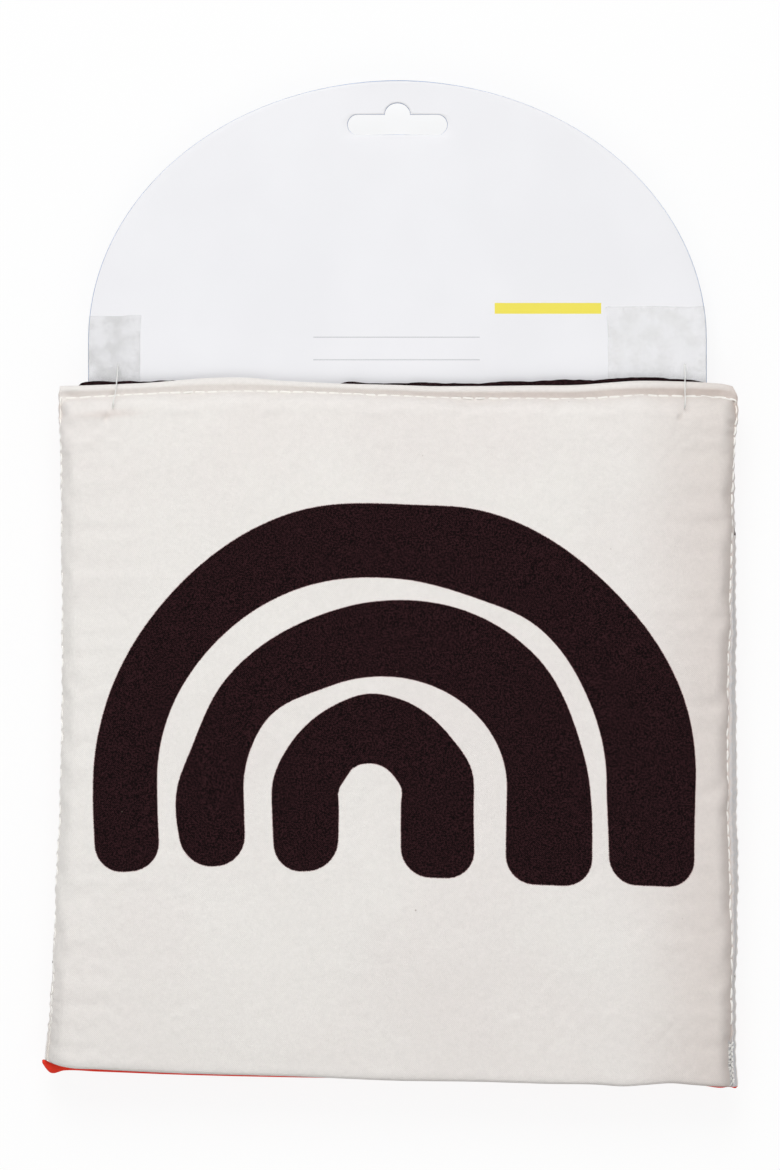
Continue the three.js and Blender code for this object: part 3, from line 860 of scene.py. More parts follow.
def colour_property(name, description, screen):
    return FloatVectorProperty(
        name=name, description=description, subtype="COLOR", size=3, min=0, max=1, default=linear(screen)
    )


def length_property(name, description, default):
    return FloatProperty(name=name, description=description, unit="LENGTH", min=0, default=default)


def number_property(name, description, default, **limits):
    return FloatProperty(name=name, description=description, default=default, **limits)


class ToyPanelSizes(PropertyGroup):
    lip_width: length_property("Lip", "Flat sewn edge outside the topstitching", 3.4 * MM)
    edge_roll: length_property("Rolled edge", "From the topstitching to the flat of the pad", 6.8 * MM)
    fullness: number_property("Fullness", "How full the rolled edge is", 2.4, min=1)
    lip_height: length_property("Lip height", "How far the turned-in cloth makes the lip stand up", 1.0 * MM)
    crown: length_property("Crown", "How far the back swells in its middle", 1.2 * MM)
    pucker_pitch: length_property("Pucker pitch", "Between puckers along a sewn edge", 3.1 * MM)
    pucker_height: length_property("Pucker height", "Height of a pucker", 0.5 * MM)
    hill_height: length_property("Unevenness", "Height of the filling's soft hills", 0.9 * MM)
    grid: length_property("Grid", "Spacing of the mesh in the middle of a panel", 1.9 * MM)
    puff_cap: length_property("Most puff", "Most that the cloth simulation may move a point", 2 * MM)
    spare_cloth: number_property(
        "Spare cloth", "How much larger the cloth is cut for the simulation", 0.012, min=0, max=0.1
    )


class ToyStitchSizes(PropertyGroup):
    pitch: length_property("Pitch", "From one stitch to the next", 3.9 * MM)
    length: length_property("Stitch", "Length of a stitch that shows", 2.75 * MM)
    thread: length_property("Thread", "Width of the thread, pressed flat", 0.68 * MM)
    tack_length: length_property("Bar tack", "Length of the dense tack at the fold end", 11.5 * MM)
    tack_bars: IntProperty(name="Bars", description="Cross stitches in the bar tack", min=2, default=15)


class ToyCardSizes(PropertyGroup):
    thickness: length_property("Card", "Thickness of the card", 0.5 * MM)
    film: length_property("Tape", "Thickness of the tape", 0.12 * MM)
    lift: length_property("Bow", "How far the card's far end lifts", 0.8 * MM)
    thread: length_property("Tag thread", "Thickness of a tag's thread", 0.38 * MM)


class ToyColours(PropertyGroup):
    cream: colour_property("Cream", "The back's canvas", (0.93, 0.918, 0.902))
    tint: colour_property("Tint", "Faint rosy clouds in the canvas", (0.919, 0.9, 0.886))
    # painted shade: the darker beige that the canvas takes along its sewn edges and in the fold under the
    # left tag
    warm: colour_property("Warm", "Canvas along the sewn edges", (0.838, 0.796, 0.772))
    fleck: colour_property("Fleck", "Seed flecks in the canvas", (0.56, 0.5, 0.46))
    print: colour_property("Print", "Brown-black printed arches", (0.118, 0.053, 0.063))
    fringe: colour_property("Fringe", "Thin edge that the print bleeds", (0.62, 0.34, 0.36))
    # painted shade: the cool grey of the right-hand lip where it turns down away from the light
    lip_shade: colour_property("Lining", "Cool grey that the worn right-hand lip shows", (0.795, 0.8, 0.812))
    red: colour_property("Red", "The flap's canvas", (0.93, 0.24, 0.17))
    red_tint: colour_property("Red tint", "Clouds in the flap's canvas", (0.9, 0.2, 0.15))
    thread: colour_property("Thread", "Topstitching thread", (0.995, 0.988, 0.97))
    card: colour_property("Card", "Coated white of the card", (0.934, 0.934, 0.946))
    card_front: colour_property("Card front", "The card's hidden side", (0.5, 0.64, 0.84))
    stripe: colour_property("Stripe", "Stripe on the card", (0.935, 0.88, 0.36))
    rule: colour_property("Rule", "Thin lines on the card", (0.45, 0.45, 0.48))


class ToyStage(PropertyGroup):
    distance: length_property("Camera distance", "From the camera to the toy", 1.6)
    elevation: number_property("Elevation", "Camera angle over the floor, in degrees", 88)
    view_height: length_property("View height", "Height of the picture at the toy", 374.4 * MM)
    look: FloatVectorProperty(
        name="Look", description="Where the camera looks", subtype="TRANSLATION", unit="LENGTH", size=3,
        default=(-2.4 * MM, -2.1 * MM, 15 * MM),
    )
    world: number_property("Sky", "Strength of the even light", 0.45, min=0)
    key: number_property("Key lamp", "Power of the large soft lamp, in watts", 12.0, min=0)
    lamp: number_property("Low lamp", "Power of the soft lamp on the fold's side, in watts", 1.15, min=0)


# Pieces


def back_panel(sizes):
    return PanelShape(sizes, 100, CREAM_FOLD, sizes.crown, turned=True)


def flap_panel(sizes):
    return PanelShape(sizes, 200, FLAP_FOLD, 0.0, turned=False, trim=0.9 * MM)


class TOY_OT_back_pad(Operator):
    """The cream padded back with its printed arches, closed underneath by its filling"""

    bl_idname = "toy.back_pad"
    bl_label = "Back pad"

    BOARD_DEPTH, OPEN_DEPTH = 7.4 * MM, 10.4 * MM  # where the filling ends, on the board and beside it

    def execute(self, context):
        sizes, colours = context.scene.toy_panels, context.scene.toy_colours
        panel = back_panel(sizes)
        panel.puff()
        x, y = panel_grid(sizes.grid)
        beyond = np.maximum(np.abs(x) - BOARD[0], np.abs(y - MIDDLE) - BOARD[1])
        inside = mix(self.BOARD_DEPTH, self.OPEN_DEPTH, smooth(1.5 * MM, 5 * MM, beyond))
        spot = panel.place(x, y, 0)
        dips = sum(self.dimple(spot[..., 0] - side * TAG_AT, spot[..., 1] - PIERCE_Y) for side in (-1, 1))
        top = panel.outer_points(x, y, dips)
        bottom = panel.place(x, y, panel.filling(x, y, inside))
        arches = arches_distance(top[..., 0], top[..., 1])
        no_print = np.full(arches.shape, 1.0)
        # The cream canvas has painted shade along its sewn edges, on the right-hand lip and in the fold under
        # the left tag.
        material = canvas(
            "cream_canvas", colours.cream, colours.tint, prints=[("arches", colours.print, colours.fringe)],
            flecks=(colours.fleck, 0.6), warm=colours.warm, lip_shade=colours.lip_shade,
        )
        pad = new_piece(
            "back_pad", slab(top, bottom), "mirror_panel", "cream_canvas", material,
            warm=twice(self.painted_shade_share(panel, x, y)), arches=np.stack([arches, no_print]),
            edging=twice(self.painted_lip_shade(panel, x, y)),
        )
        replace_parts(pad, "back_cover", "mirror_padding")
        return {"FINISHED"}

    @staticmethod
    def painted_lip_shade(panel, x, y):
        """Where the right-hand lip is painted a cool grey shade, as it turns down away from the light:
        outside the stitches, less and less from two thirds of the way up, and most beside the tack."""
        out = -panel.edges(x, y)[1] / panel.sizes.lip_width
        # painted shade of the turned-down lip, and of the ground under the tack
        wear_and_lip_shade = 0.6 * smooth(0.05, 0.3, out) * smooth(205 * MM, 150 * MM, y)
        tacked = 0.75 * smooth(-0.35, -0.15, out) * smooth(16 * MM, 13 * MM, y)
        return np.maximum(wear_and_lip_shade, tacked)

    @staticmethod
    def painted_shade_share(panel, x, y):
        """Where the canvas is painted a darker beige: painted shade on the inner half of the top lip, most at
        its right, on a strip inside the right-hand stitches that widens towards the right edge, and in the
        small fold under the left tag, and a little darker by the fold."""
        _, right, top, _ = panel.edges(x, y)
        out = -top / panel.sizes.lip_width
        rightwards = mix(0.2, 0.8, smooth(-40 * MM, 60 * MM, x))
        # painted shade on the lip's inner half, which faces away from the light from the top
        above = smooth(-0.05, 0.15, out) * smooth(0.62, 0.4, out) * rightwards
        # painted shade of the right-hand roll: a strip at the stitches, and a broad falloff over 36 mm for
        # the light falling off to the right
        beside = 0.3 * smooth(3.5 * MM, 0, np.abs(right)) + 0.6 * smooth(36 * MM, 0, np.maximum(right, 0))
        by_fold = 0.09 * smooth(60 * MM, 15 * MM, y)
        dx, dy = x + TAG_AT, y + FOLD_Y - PIERCE_Y + 1.3 * MM
        # the last term is painted shade in the small fold under the left tag
        return above + beside + by_fold + 0.6 * bell(dx, 8 * MM) * bell(dy, 1.2 * MM)

    @staticmethod
    def dimple(dx, dy):
        """Where a tag's thread pulls the pad in: a round dip, a crease up to the stitch line, a wider soft
        fold across, a narrow slit towards the fold, and four faint creases that fan out."""
        r = np.hypot(dx, dy)
        dip = 0.9 * MM * bell(r, 1.7 * MM)
        upwards = smooth(-1.5 * MM, 0.5 * MM, dy) * smooth(6.5 * MM, 4.5 * MM, dy)
        crease = 0.5 * MM * bell(dx, 0.8 * MM) * upwards
        across = 0.75 * MM * bell(dy + 1.1 * MM, 1.4 * MM) * bell(dx, 7 * MM)
        downwards = smooth(-5 * MM, -4 * MM, dy) * smooth(-1.8 * MM, -2.8 * MM, dy)
        slit = 2 * MM * bell(dx - 0.4 * dy, 0.6 * MM) * downwards
        fan = 0.12 * MM * np.cos(4 * np.arctan2(dy, dx) + 0.6) * bell(r - 4 * MM, 3 * MM)
        return dip + crease + across + slit + fan


class TOY_OT_mirror_frame(Operator):
    """The printed cloth round the mirror, and the red binding that edges its window"""

    bl_idname = "toy.mirror_frame"
    bl_label = "Mirror frame"

    def execute(self, context):
        sizes, colours = context.scene.toy_panels, context.scene.toy_colours
        far = FINE[FINE < 22 * MM] / (35 * MM)
        x, y = face_ring(np.concatenate([np.linspace(0, 1 - far[-1], 18)[:-1], 1 - far[::-1]]))
        panel = back_panel(sizes)
        beyond = {"past_right": 0.35 * MM, "past_top": self.peek}
        face = panel.place(x, y, panel.inner(x, y, 0.15 * MM), **beyond)
        hidden = panel.place(x, y, panel.inner_back(x, y), **beyond)
        dashes = self.dashes(x, y)
        cloth = new_piece(
            "frame_cloth", band(face, hidden[::-1]), "mirror_panel", "pattern_canvas",
            printed_canvas("frame_canvas", colours, "dashes"), dashes=np.concatenate([dashes, dashes[::-1]]),
        )
        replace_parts(cloth, "mirror_frame_cover")

        binding = new_piece(
            "window_edging", self.binding(), "mirror_panel", "red_canvas", red_canvas("red_binding", colours)
        )
        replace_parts(binding, "window_binding")
        return {"FINISHED"}

    @staticmethod
    def peek(x):
        """How far the cloth's top edge stands past the cream lip, with a slightly frayed edge."""
        return along(PEEK, x) + 0.12 * MM * ripple(x, 1.5 * MM, 61) + 0.1 * MM * ripple(x, 3.1 * MM, 62)

    @staticmethod
    def dashes(x, y):
        """Below zero on a dark band along the top, and on short staggered strokes elsewhere."""
        pitch, half_length, half_width = 14 * MM, 2.6 * MM, 1.25 * MM
        dark = np.maximum(HEIGHT - 33 * MM - y, np.abs(x) - HALF + 5 * MM)
        row = np.floor(y / pitch)
        along_row = x / pitch + 0.5 * np.mod(row, 2)
        col = np.floor(along_row)
        turn = np.sin(row * 12.9898 + col * 78.233) * 2.2
        dx = (along_row - col - 0.5) * pitch
        dy = (y / pitch - row - 0.5) * pitch
        u = dx * np.cos(turn) + dy * np.sin(turn)
        v = dy * np.cos(turn) - dx * np.sin(turn)
        stroke = np.hypot(np.maximum(np.abs(u) - half_length, 0), v) - half_width
        clear = (row + 0.5) * pitch < HEIGHT - 38 * MM
        return np.minimum(dark, np.where(clear, stroke, pitch))

    @staticmethod
    def binding():
        """A folded strip sewn round the window: a low arch, 1 - t^4 high across its width, with puckers
        and a groove for its thread."""
        lanes = np.array([-1, -0.97, -0.85, -0.6, -0.3, 0, 0.3, 0.6, 0.85, 0.97, 1])
        half_width, middle = 2.3 * MM, 1.4 * MM  # the strip's middle lies that far inside the window's edge
        x, y, z = [], [], []
        for lane in lanes:
            px, py = window_ring(middle - lane * half_width, steps=70, corner_steps=20)
            length = np.cumsum(np.hypot(np.diff(px, append=px[:1]), np.diff(py, append=py[:1])))
            pucker = 0.12 * MM * ripple(length, 3.3 * MM, 51) * (1 - lane**2)
            groove = 0.22 * MM * bell(lane - 0.45, 0.14)
            x.append(px)
            y.append(py)
            z.append(THICK + 0.15 * MM + 0.45 * MM * (1 - lane**4) + pucker - groove)
        x, y, z = (np.array(v) for v in (x, y, z))
        low = np.where(lanes > 0.2, THICK + 0.05 * MM, THICK - 0.75 * MM)[:, None]
        return band(stacked(x, y + FOLD_Y, CLOSED - z)[::-1], stacked(x, y + FOLD_Y, CLOSED - low))


class TOY_OT_mirror(Operator):
    """Finishes for the mirror sheet and for the board behind it, which the frame already holds"""

    bl_idname = "toy.mirror"
    bl_label = "Mirror and board"

    def execute(self, context):
        silver = Finish("mirror_film", (0.8, 0.825, 0.84), 0.035, Metallic=1.0)
        silver.set("Normal", silver.bump(silver.noise(16.0, 1.0), 0.6 * MM, 0.25))
        board = Finish("grey_board", linear((0.73, 0.67, 0.57)), 0.9)
        fibre = board.noise(420.0, 5.0)
        board.set("Base Color", board.blend(fibre, linear((0.7, 0.63, 0.53)), linear((0.77, 0.71, 0.61))))
        board.set("Normal", board.bump(fibre, 0.1 * MM, 0.4))
        for name, made in (("mirror_sheet", silver), ("backing_board", board)):
            node = frame["nodes"][name]
            node.data.materials.clear()
            node.data.materials.append(made.material)
        return {"FINISHED"}


class TOY_OT_flap(Operator):
    """The padded flap: red canvas outside with its filling, and dotted cloth inside"""

    bl_idname = "toy.flap"
    bl_label = "Flap"

    def execute(self, context):
        sizes, colours = context.scene.toy_panels, context.scene.toy_colours
        panel = flap_panel(sizes)
        panel.puff()
        x, y = panel_grid(sizes.grid)
        under = panel.place(x, y, panel.filling(x, y, THICK - CLOTH - 0.35 * MM))
        outer = panel.outer_points(x, y)
        outer[..., 2] = np.maximum(outer[..., 2], 0)
        red = red_canvas("red_canvas", colours)
        pad = new_piece("flap_pad", slab(under, outer), "flap", "red_canvas", red)
        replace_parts(pad, "flap_outer_cover", "flap_padding")

        tucked = y + 1.3 * MM * smooth(9 * MM, 0, y)
        face, hidden = (panel.place(x, tucked, depth(x, tucked)) for depth in (panel.inner, panel.inner_back))
        cloth = new_piece(
            "flap_cloth", slab(face, hidden), "flap", "pattern_canvas",
            printed_canvas("dotted_canvas", colours, "dots"), dots=twice(self.dots(x, y)),
        )
        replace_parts(cloth, "flap_inner_cover")
        return {"FINISHED"}

    @staticmethod
    def dots(x, y):
        """Below zero in round dots on a staggered grid."""
        pitch, radius = 31 * MM, 9.5 * MM
        row = np.round((y - MIDDLE) / pitch)
        along_row = x / pitch + 0.5 * np.mod(row, 2)
        dx = (along_row - np.round(along_row)) * pitch
        return np.hypot(dx, y - MIDDLE - row * pitch) - radius


class TOY_OT_fold_roll(Operator):
    """The rolled red seam along the fold, fatter where it comes out at its corners"""

    bl_idname = "toy.fold_roll"
    bl_label = "Fold seam"

    LEFT, RIGHT = -113.55 * MM, 108.65 * MM
    HALF_WIDTH, HALF_HEIGHT = 1.2 * MM, 1.1 * MM
    KNOB_AT, KNOB_WIDER, KNOB_TALLER = -109.4 * MM, 0.75 * MM, 0.3 * MM  # the fat left end
    GUSSET_RISE = 0.85 * MM

    def execute(self, context):
        colours = context.scene.toy_colours
        stretches = (-113.5, -98, 40), (-97, 96, 110), (97, 108.6, 24)  # finer rings near both ends
        x = np.concatenate([np.linspace(*stretch) for stretch in stretches]) * MM
        knob = bell(x - self.KNOB_AT, 3.4 * MM)
        wrinkle = 1 + 0.05 * ripple(x, 2.4 * MM, 71)
        wide = (self.HALF_WIDTH + self.KNOB_WIDER * knob) * wrinkle
        tall = (self.HALF_HEIGHT + self.KNOB_TALLER * knob) * wrinkle
        middle = along(RED_FOLD, x) + wide
        material = red_canvas("red_fold", colours)
        shape = gather([self.rolled(x, middle, wide, tall), self.allowance(x, middle)])
        roll = new_piece("fold_roll", shape, "flap", "red_canvas", material)
        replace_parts(roll, "fold_seam")

        gusset = new_piece("fold_gusset", self.gusset(x, middle), None, "red_canvas", material)
        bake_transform(gusset)
        return {"FINISHED"}

    @classmethod
    def rolled(cls, x, middle, wide, tall, sides=18):
        """The roll: ovals along the fold, with ends that close as quarter circles, narrow but not sharp."""
        left_end = np.clip((x - cls.LEFT) / (2.6 * MM), 0, 1)
        right_end = np.clip((cls.RIGHT - x) / (1.3 * MM), 0, 1)
        end = np.sqrt(1 - (1 - np.minimum(left_end, right_end)) ** 2)
        angle = np.linspace(0, 2 * np.pi, sides, endpoint=False)
        y = FOLD_Y + middle[:, None] + (wide * mix(0.15, 1, end))[:, None] * np.cos(angle)
        z = HINGE_Z + (tall * end)[:, None] * np.sin(angle)
        return stacked(x[:, None], y, z).reshape(-1, 3), capped(len(x), sides)[:, ::-1]

    @classmethod
    def gusset(cls, roll_x, roll_middle):
        """Cloth from inside the roll to the rim of the mirror panel's inner cloth, along the left half, where
        the two stand apart."""
        x = np.linspace(-108.6, 6, 90)[None] * MM
        share = np.linspace(0, 1, 17)[:, None]
        y = FOLD_Y + mix(np.interp(x, roll_x, roll_middle), along(CREAM_FOLD, x) + 0.8 * MM, share)
        z = HINGE_Z + cls.GUSSET_RISE * share
        return slab(stacked(x, y, z), stacked(x, y + 0.3 * MM, z))

    @staticmethod
    def allowance(roll_x, roll_middle):
        """The seam's flat edge: cloth from inside the roll down over the rim of the flap's inner cloth."""
        x = np.linspace(-109.5, 107.2, 150)[None] * MM
        share = np.array([0, 0.2, 0.4, 0.6, 0.8, 0.95, 1])[:, None]
        stop = along(FLAP_FOLD, x) + 2.4 * MM + 0.25 * MM * ripple(x, 5 * MM, 73)
        y = FOLD_Y + mix(np.interp(x, roll_x, roll_middle), stop, share)
        z = mix(12.65 * MM, 12.05 * MM, share) + 0.06 * MM * ripple(x, 4 * MM, 74) * share
        thick = np.where(share == 1, 0.2 * MM, 0.35 * MM)
        return slab(stacked(x, y, z), stacked(x, y, z - thick))


class TOY_OT_stitching(Operator):
    """Topstitching round three sides of both panels, with the dense tack at the back's fold corner"""

    bl_idname = "toy.stitching"
    bl_label = "Stitching"

    ALONG = np.linspace(0, 1, 5)  # shares of a stitch's length where its tube has rings

    def execute(self, context):
        sizes, stitches = context.scene.toy_panels, context.scene.toy_stitches
        material = plain_thread("stitch_thread", context.scene.toy_colours.thread)
        for name, body, panel, slot in (
            ("back_stitches", "mirror_panel", back_panel(sizes), "cream_canvas"),
            ("flap_stitches", "flap", flap_panel(sizes), "pattern_canvas"),
        ):
            parts = self.line(panel, stitches)
            if panel.turned:
                parts += self.tack(panel, stitches)
            new_piece(name, gather(parts), body, slot, material)
        return {"FINISHED"}

    def line(self, panel, stitches):
        """Short stitches along the lip's inner edge, up the right side, over the top and down the left, on
        the outer and the inner face of a panel. The back's last three are sewn over at the top right."""
        side, start = HALF - panel.sizes.lip_width, 7 * MM
        up, across = HEIGHT - panel.sizes.lip_width - start, 2 * side
        first = 0.4 * MM + (stitches.tack_length if panel.turned else 0)
        starts = np.arange(first, 2 * up + across - stitches.length, stitches.pitch)
        rng = np.random.default_rng(panel.seed)
        starts = starts + rng.uniform(-0.25, 0.25, len(starts)) * MM
        parts = []
        for inner in (False, True):
            for at in starts + (stitches.pitch / 2 if inner else 0):
                s = at + self.ALONG * stitches.length * rng.uniform(0.9, 1.06)
                past_up, past_top = s >= up, s >= up + across
                x = np.where(past_top, -side, np.where(past_up, side - (s - up), side))
                y = np.where(past_top, start + 2 * up + across - s, np.where(past_up, start + up, start + s))
                slant = rng.uniform(-0.12, 0.12) * MM * (self.ALONG - 0.5) * 2
                on_top = past_up & ~past_top
                x, y = x + np.where(on_top, 0, slant), y + np.where(on_top, slant, 0)
                sunk = panel.turned and not inner and s[0] > up + across
                parts.append(self.stitch(x, y, panel, stitches, inner, 0.6 if sunk else 1.0))
        for k in range(3):
            x = side - (k + 0.35) * stitches.pitch - self.ALONG * stitches.length
            y = start + up + rng.uniform(-0.5, -0.2) * MM + 0 * x
            parts.append(self.stitch(x, y, panel, stitches))
        return parts

    @classmethod
    def stitch(cls, x, y, panel, stitches, inner=False, share=1.0):
        """A short tube that dips into the cloth at both ends: its middle stands 1 - (2t - 1)^4 proud."""
        wide = stitches.thread * share
        proud = wide * (0.5 * (1 - (2 * cls.ALONG - 1) ** 4) - 0.1)
        depth = panel.inner(x, y) + proud if inner else panel.outer(x, y) - proud
        return tube(panel.place(x, y, depth), wide / 2, 8, Z_AXIS, flat=0.6)

    def tack(self, panel, stitches):
        """A dense zigzag over the fold end of the right-hand line: bars that slant this way and that."""
        rng = np.random.default_rng(5)
        start = 1.5 * MM
        parts = []
        for k, at in enumerate(np.linspace(start, start + stitches.tack_length, stitches.tack_bars)):
            reach = rng.uniform(0.8, 1.1) * MM
            x = HALF - panel.sizes.lip_width + 0.3 * MM + (self.ALONG - 0.5) * 2 * reach
            y = at + (self.ALONG - 0.5) * rng.uniform(1.1, 1.9) * MM * (-1) ** k
            parts.append(self.stitch(x, y, panel, stitches, share=0.8))
        return parts


# The card


def card_outline(count=160, corner_count=16, corner=6 * MM):
    """The card's edge: a half-oval on short straight sides, with small corners at the tucked end."""
    start, inner = CARD_TOP - CARD_ARCH, CARD_HALF - corner
    turn = np.linspace(0, np.pi, count)
    small = np.linspace(0, np.pi / 2, corner_count)
    x = [CARD_HALF * np.cos(turn), -inner - corner * np.cos(small), inner + corner * np.sin(small)]
    y = [
        start + CARD_ARCH * np.sin(turn),
        CARD_LOW + corner - corner * np.sin(small),
        CARD_LOW + corner - corner * np.cos(small),
    ]
    return np.concatenate(x), np.concatenate(y)


def slot_outline(middle_y):
    """The hang slot's edge: a slot with round ends and a round bump over its middle."""
    radius, end, bump = 3.3 * MM, 12.85 * MM, 4.2 * MM
    side = np.linspace(-np.pi / 2, np.pi / 2, 30)
    over = np.linspace(0, np.pi, 40)
    x = [end + radius * np.cos(side), bump * np.cos(over), -end - radius * np.cos(side)]
    y = [radius * np.sin(side), radius + bump * 0.9 * np.sin(over), -radius * np.sin(side)]
    return np.concatenate(x), np.concatenate(y) + middle_y


def polar(x, y, centre_y, angle):
    """Radius of a closed outline at each angle round a middle, from its points by straight blending."""
    length = np.concatenate([[0], np.cumsum(np.hypot(np.diff(x, append=x[0]), np.diff(y, append=y[0])))])
    spots = np.linspace(0, length[-1], 6000)
    fine_x = np.interp(spots, length, np.append(x, x[0]))
    fine_y = np.interp(spots, length, np.append(y, y[0])) - centre_y
    turn = np.mod(np.arctan2(fine_y, fine_x), 2 * np.pi)
    order = np.argsort(turn)
    return np.interp(angle, turn[order], np.hypot(fine_x, fine_y)[order], period=2 * np.pi)


def card_bow(y, card):
    """The card's slight bow: it lifts by the square of the way from the panel's edge to its far end."""
    far = np.clip((y - TOP_Y) / (97 * MM), 0, 1)
    return card.lift * far**2


class TOY_OT_hang_card(Operator):
    """The white hang card with its arched top, hang slot, two thin rules and a stripe"""

    bl_idname = "toy.hang_card"
    bl_label = "Hang card"

    SLOT_DOWN = 14 * MM  # from the card's top to the middle of its slot

    def execute(self, context):
        card, colours = context.scene.toy_card, context.scene.toy_colours
        slot_y = CARD_TOP - self.SLOT_DOWN
        outlines = card_outline(), slot_outline(slot_y)
        turns = [np.mod(np.arctan2(y - slot_y, x), 2 * np.pi) for x, y in outlines]
        turns.append(np.linspace(0, 2 * np.pi, 240, endpoint=False))
        angle = np.unique(np.round(np.concatenate(turns), 4))
        outer, inner = (polar(x, y, slot_y, angle) for x, y in outlines)
        share = np.concatenate([[0, 0.004], np.linspace(0, 1, 14)[1:-1], [0.997, 1]])[:, None]
        radius = mix(inner, outer, share)
        x, y = radius * np.cos(angle), radius * np.sin(angle) + slot_y
        z = HINGE_Z + card_bow(y, card)
        half = card.thickness / 2 * np.where((share == 0) | (share == 1), 0.72, 1.0)
        # The cut edges show a sliver of the front: it is a little larger than the back
        past = np.where(share == 1, 0.3 * MM, np.where(share == 0, -0.15 * MM, 0))
        top = stacked(x, y, z + half)
        low = stacked(x + past * np.cos(angle), y + past * np.sin(angle), z - half)
        points, quads = band(top, low[::-1])
        piece = new_piece(
            "hang_card", (points, quads[:, ::-1]), "mirror_panel", "card", self.paper(colours),
            front=np.stack([np.zeros(x.shape), np.ones(x.shape)]),
        )
        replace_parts(piece, "header_card")
        return {"FINISHED"}

    @staticmethod
    def paper(colours):
        """Coated card: smooth with faint fibre, a coloured front, and plain printed lines on its back."""
        n = Finish("coated_card", colours.card, 0.45, Specular_IOR_Level=0.28)
        x, y, _ = n.axes(n.place())
        cockled = n.bump(n.noise(22.0, 1.0), 0.35 * MM, 0.3)
        n.set("Normal", n.bump(n.noise(900.0, 3.0), 0.02 * MM, 0.35, Normal=cockled))

        def inside(axis, low, high):
            """1 between two places along an axis and 0 outside them, from the distance to their middle."""
            far = n.math("ABSOLUTE", n.math("SUBTRACT", axis, (low + high) / 2 * MM))
            return n.math("LESS_THAN", far, (high - low) / 2 * MM)

        def printed(tone, colour, across, up, share=1.0):
            """A plain rectangle of a colour over the card's tone."""
            box = n.math("MULTIPLY", inside(x, *across), inside(y, *up))
            return n.blend(box if share == 1 else n.math("MULTIPLY", box, share), tone, colour)

        tone = n.blend(n.spread(n.noise(30.0), 0.3, 0.7), colours.card, shaded(colours.card, 0.975))
        tone = printed(tone, colours.stripe, (31.2, 65.4), (85.1, 88.6))
        for height in (77.5, 70.2):
            tone = printed(tone, colours.rule, (-27.0, 26.4), (height, height + 0.16), 0.8)
        n.set("Base Color", n.blend(n.spread(n.attribute("front"), 0.15, 0.45), tone, colours.card_front))
        return n.material


class TOY_OT_tape(Operator):
    """Two strips of clear tape folded round the card's sides"""

    bl_idname = "toy.tape"
    bl_label = "Clear tape"

    BEND = 0.5 * MM  # width of the fold round the card's edge
    GAP = 0.07 * MM  # between the tape and the card

    def execute(self, context):
        card = context.scene.toy_card
        for name, node, side, reach, high_y, seed, shade in (
            ("tape_left", "card_tape_left", -1, 17 * MM, 21.5 * MM, 3, 0.82),
            ("tape_right", "card_tape_right", 1, 32 * MM, 24.5 * MM, 8, 0.93),
        ):
            strip = self.strip(card, side, reach, high_y, seed)
            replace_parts(new_piece(name, strip, "mirror_panel", "clear_tape", self.film(name, shade)), node)
        return {"FINISHED"}

    @classmethod
    def strip(cls, card, side, reach, high_y, seed):
        """A strip from 2 mm inside the panels up. Across its width it comes out under the card's lower
        face, goes round its edge in a half circle, and in again over its upper face, with wrinkles."""
        v = np.linspace(0, 1, 40)[:, None]
        u = np.linspace(-1, 1, 91)[None, :]
        y = TOP_Y + mix(-2 * MM, high_y, v) + 0.25 * MM * ripple(u * reach, 5 * MM, seed) * (2 * v - 1)
        arch = np.maximum(y - CARD_TOP + CARD_ARCH, 0) / CARD_ARCH
        edge = CARD_HALF * np.sqrt(np.clip(1 - arch**2, 0, 1))
        gap = card.thickness / 2 + cls.GAP
        inwards = np.maximum(np.abs(u) * reach - cls.BEND, 0)
        bent = np.clip(np.abs(u) * reach / cls.BEND, 0, 1)
        x = edge + gap * np.sqrt(1 - bent**2) * 0.9 + 0.05 * MM - inwards
        crossed = ripple(inwards, 4 * MM, seed + 1) * ripple(y, 6 * MM, seed + 2)
        wrinkle = 0.05 * MM * (crossed + 1) * smooth(0, 4 * MM, inwards)
        z = HINGE_Z + card_bow(y, card) + np.sign(u) * (gap * np.sin(bent * np.pi / 2) + wrinkle)
        outer = stacked(side * x, y, z)
        level = -np.sign(u) * bent
        towards_card = stacked(-side * np.sqrt(1 - level**2), 0, level)
        points, quads = slab(outer, outer + towards_card * card.film / 2)
        return points, quads[:, ::-1] if side > 0 else quads

    @staticmethod
    def film(name, shade):
        """Clear tape: a faint grey film, glossy, with fine creases and trapped air."""
        n = Finish(name + "_film", linear((shade, shade, shade - 0.01)), 0.16, Specular_IOR_Level=0.5)
        creases = n.math("MULTIPLY", n.noise(120.0, 3.0), n.noise(45.0, 1.0))
        n.set("Normal", n.bump(creases, 0.5 * MM, 0.6))
        n.set("Alpha", n.spread(n.noise(160.0, 4.0), 0.35, 0.75, 0.06, 0.2))
        return n.material


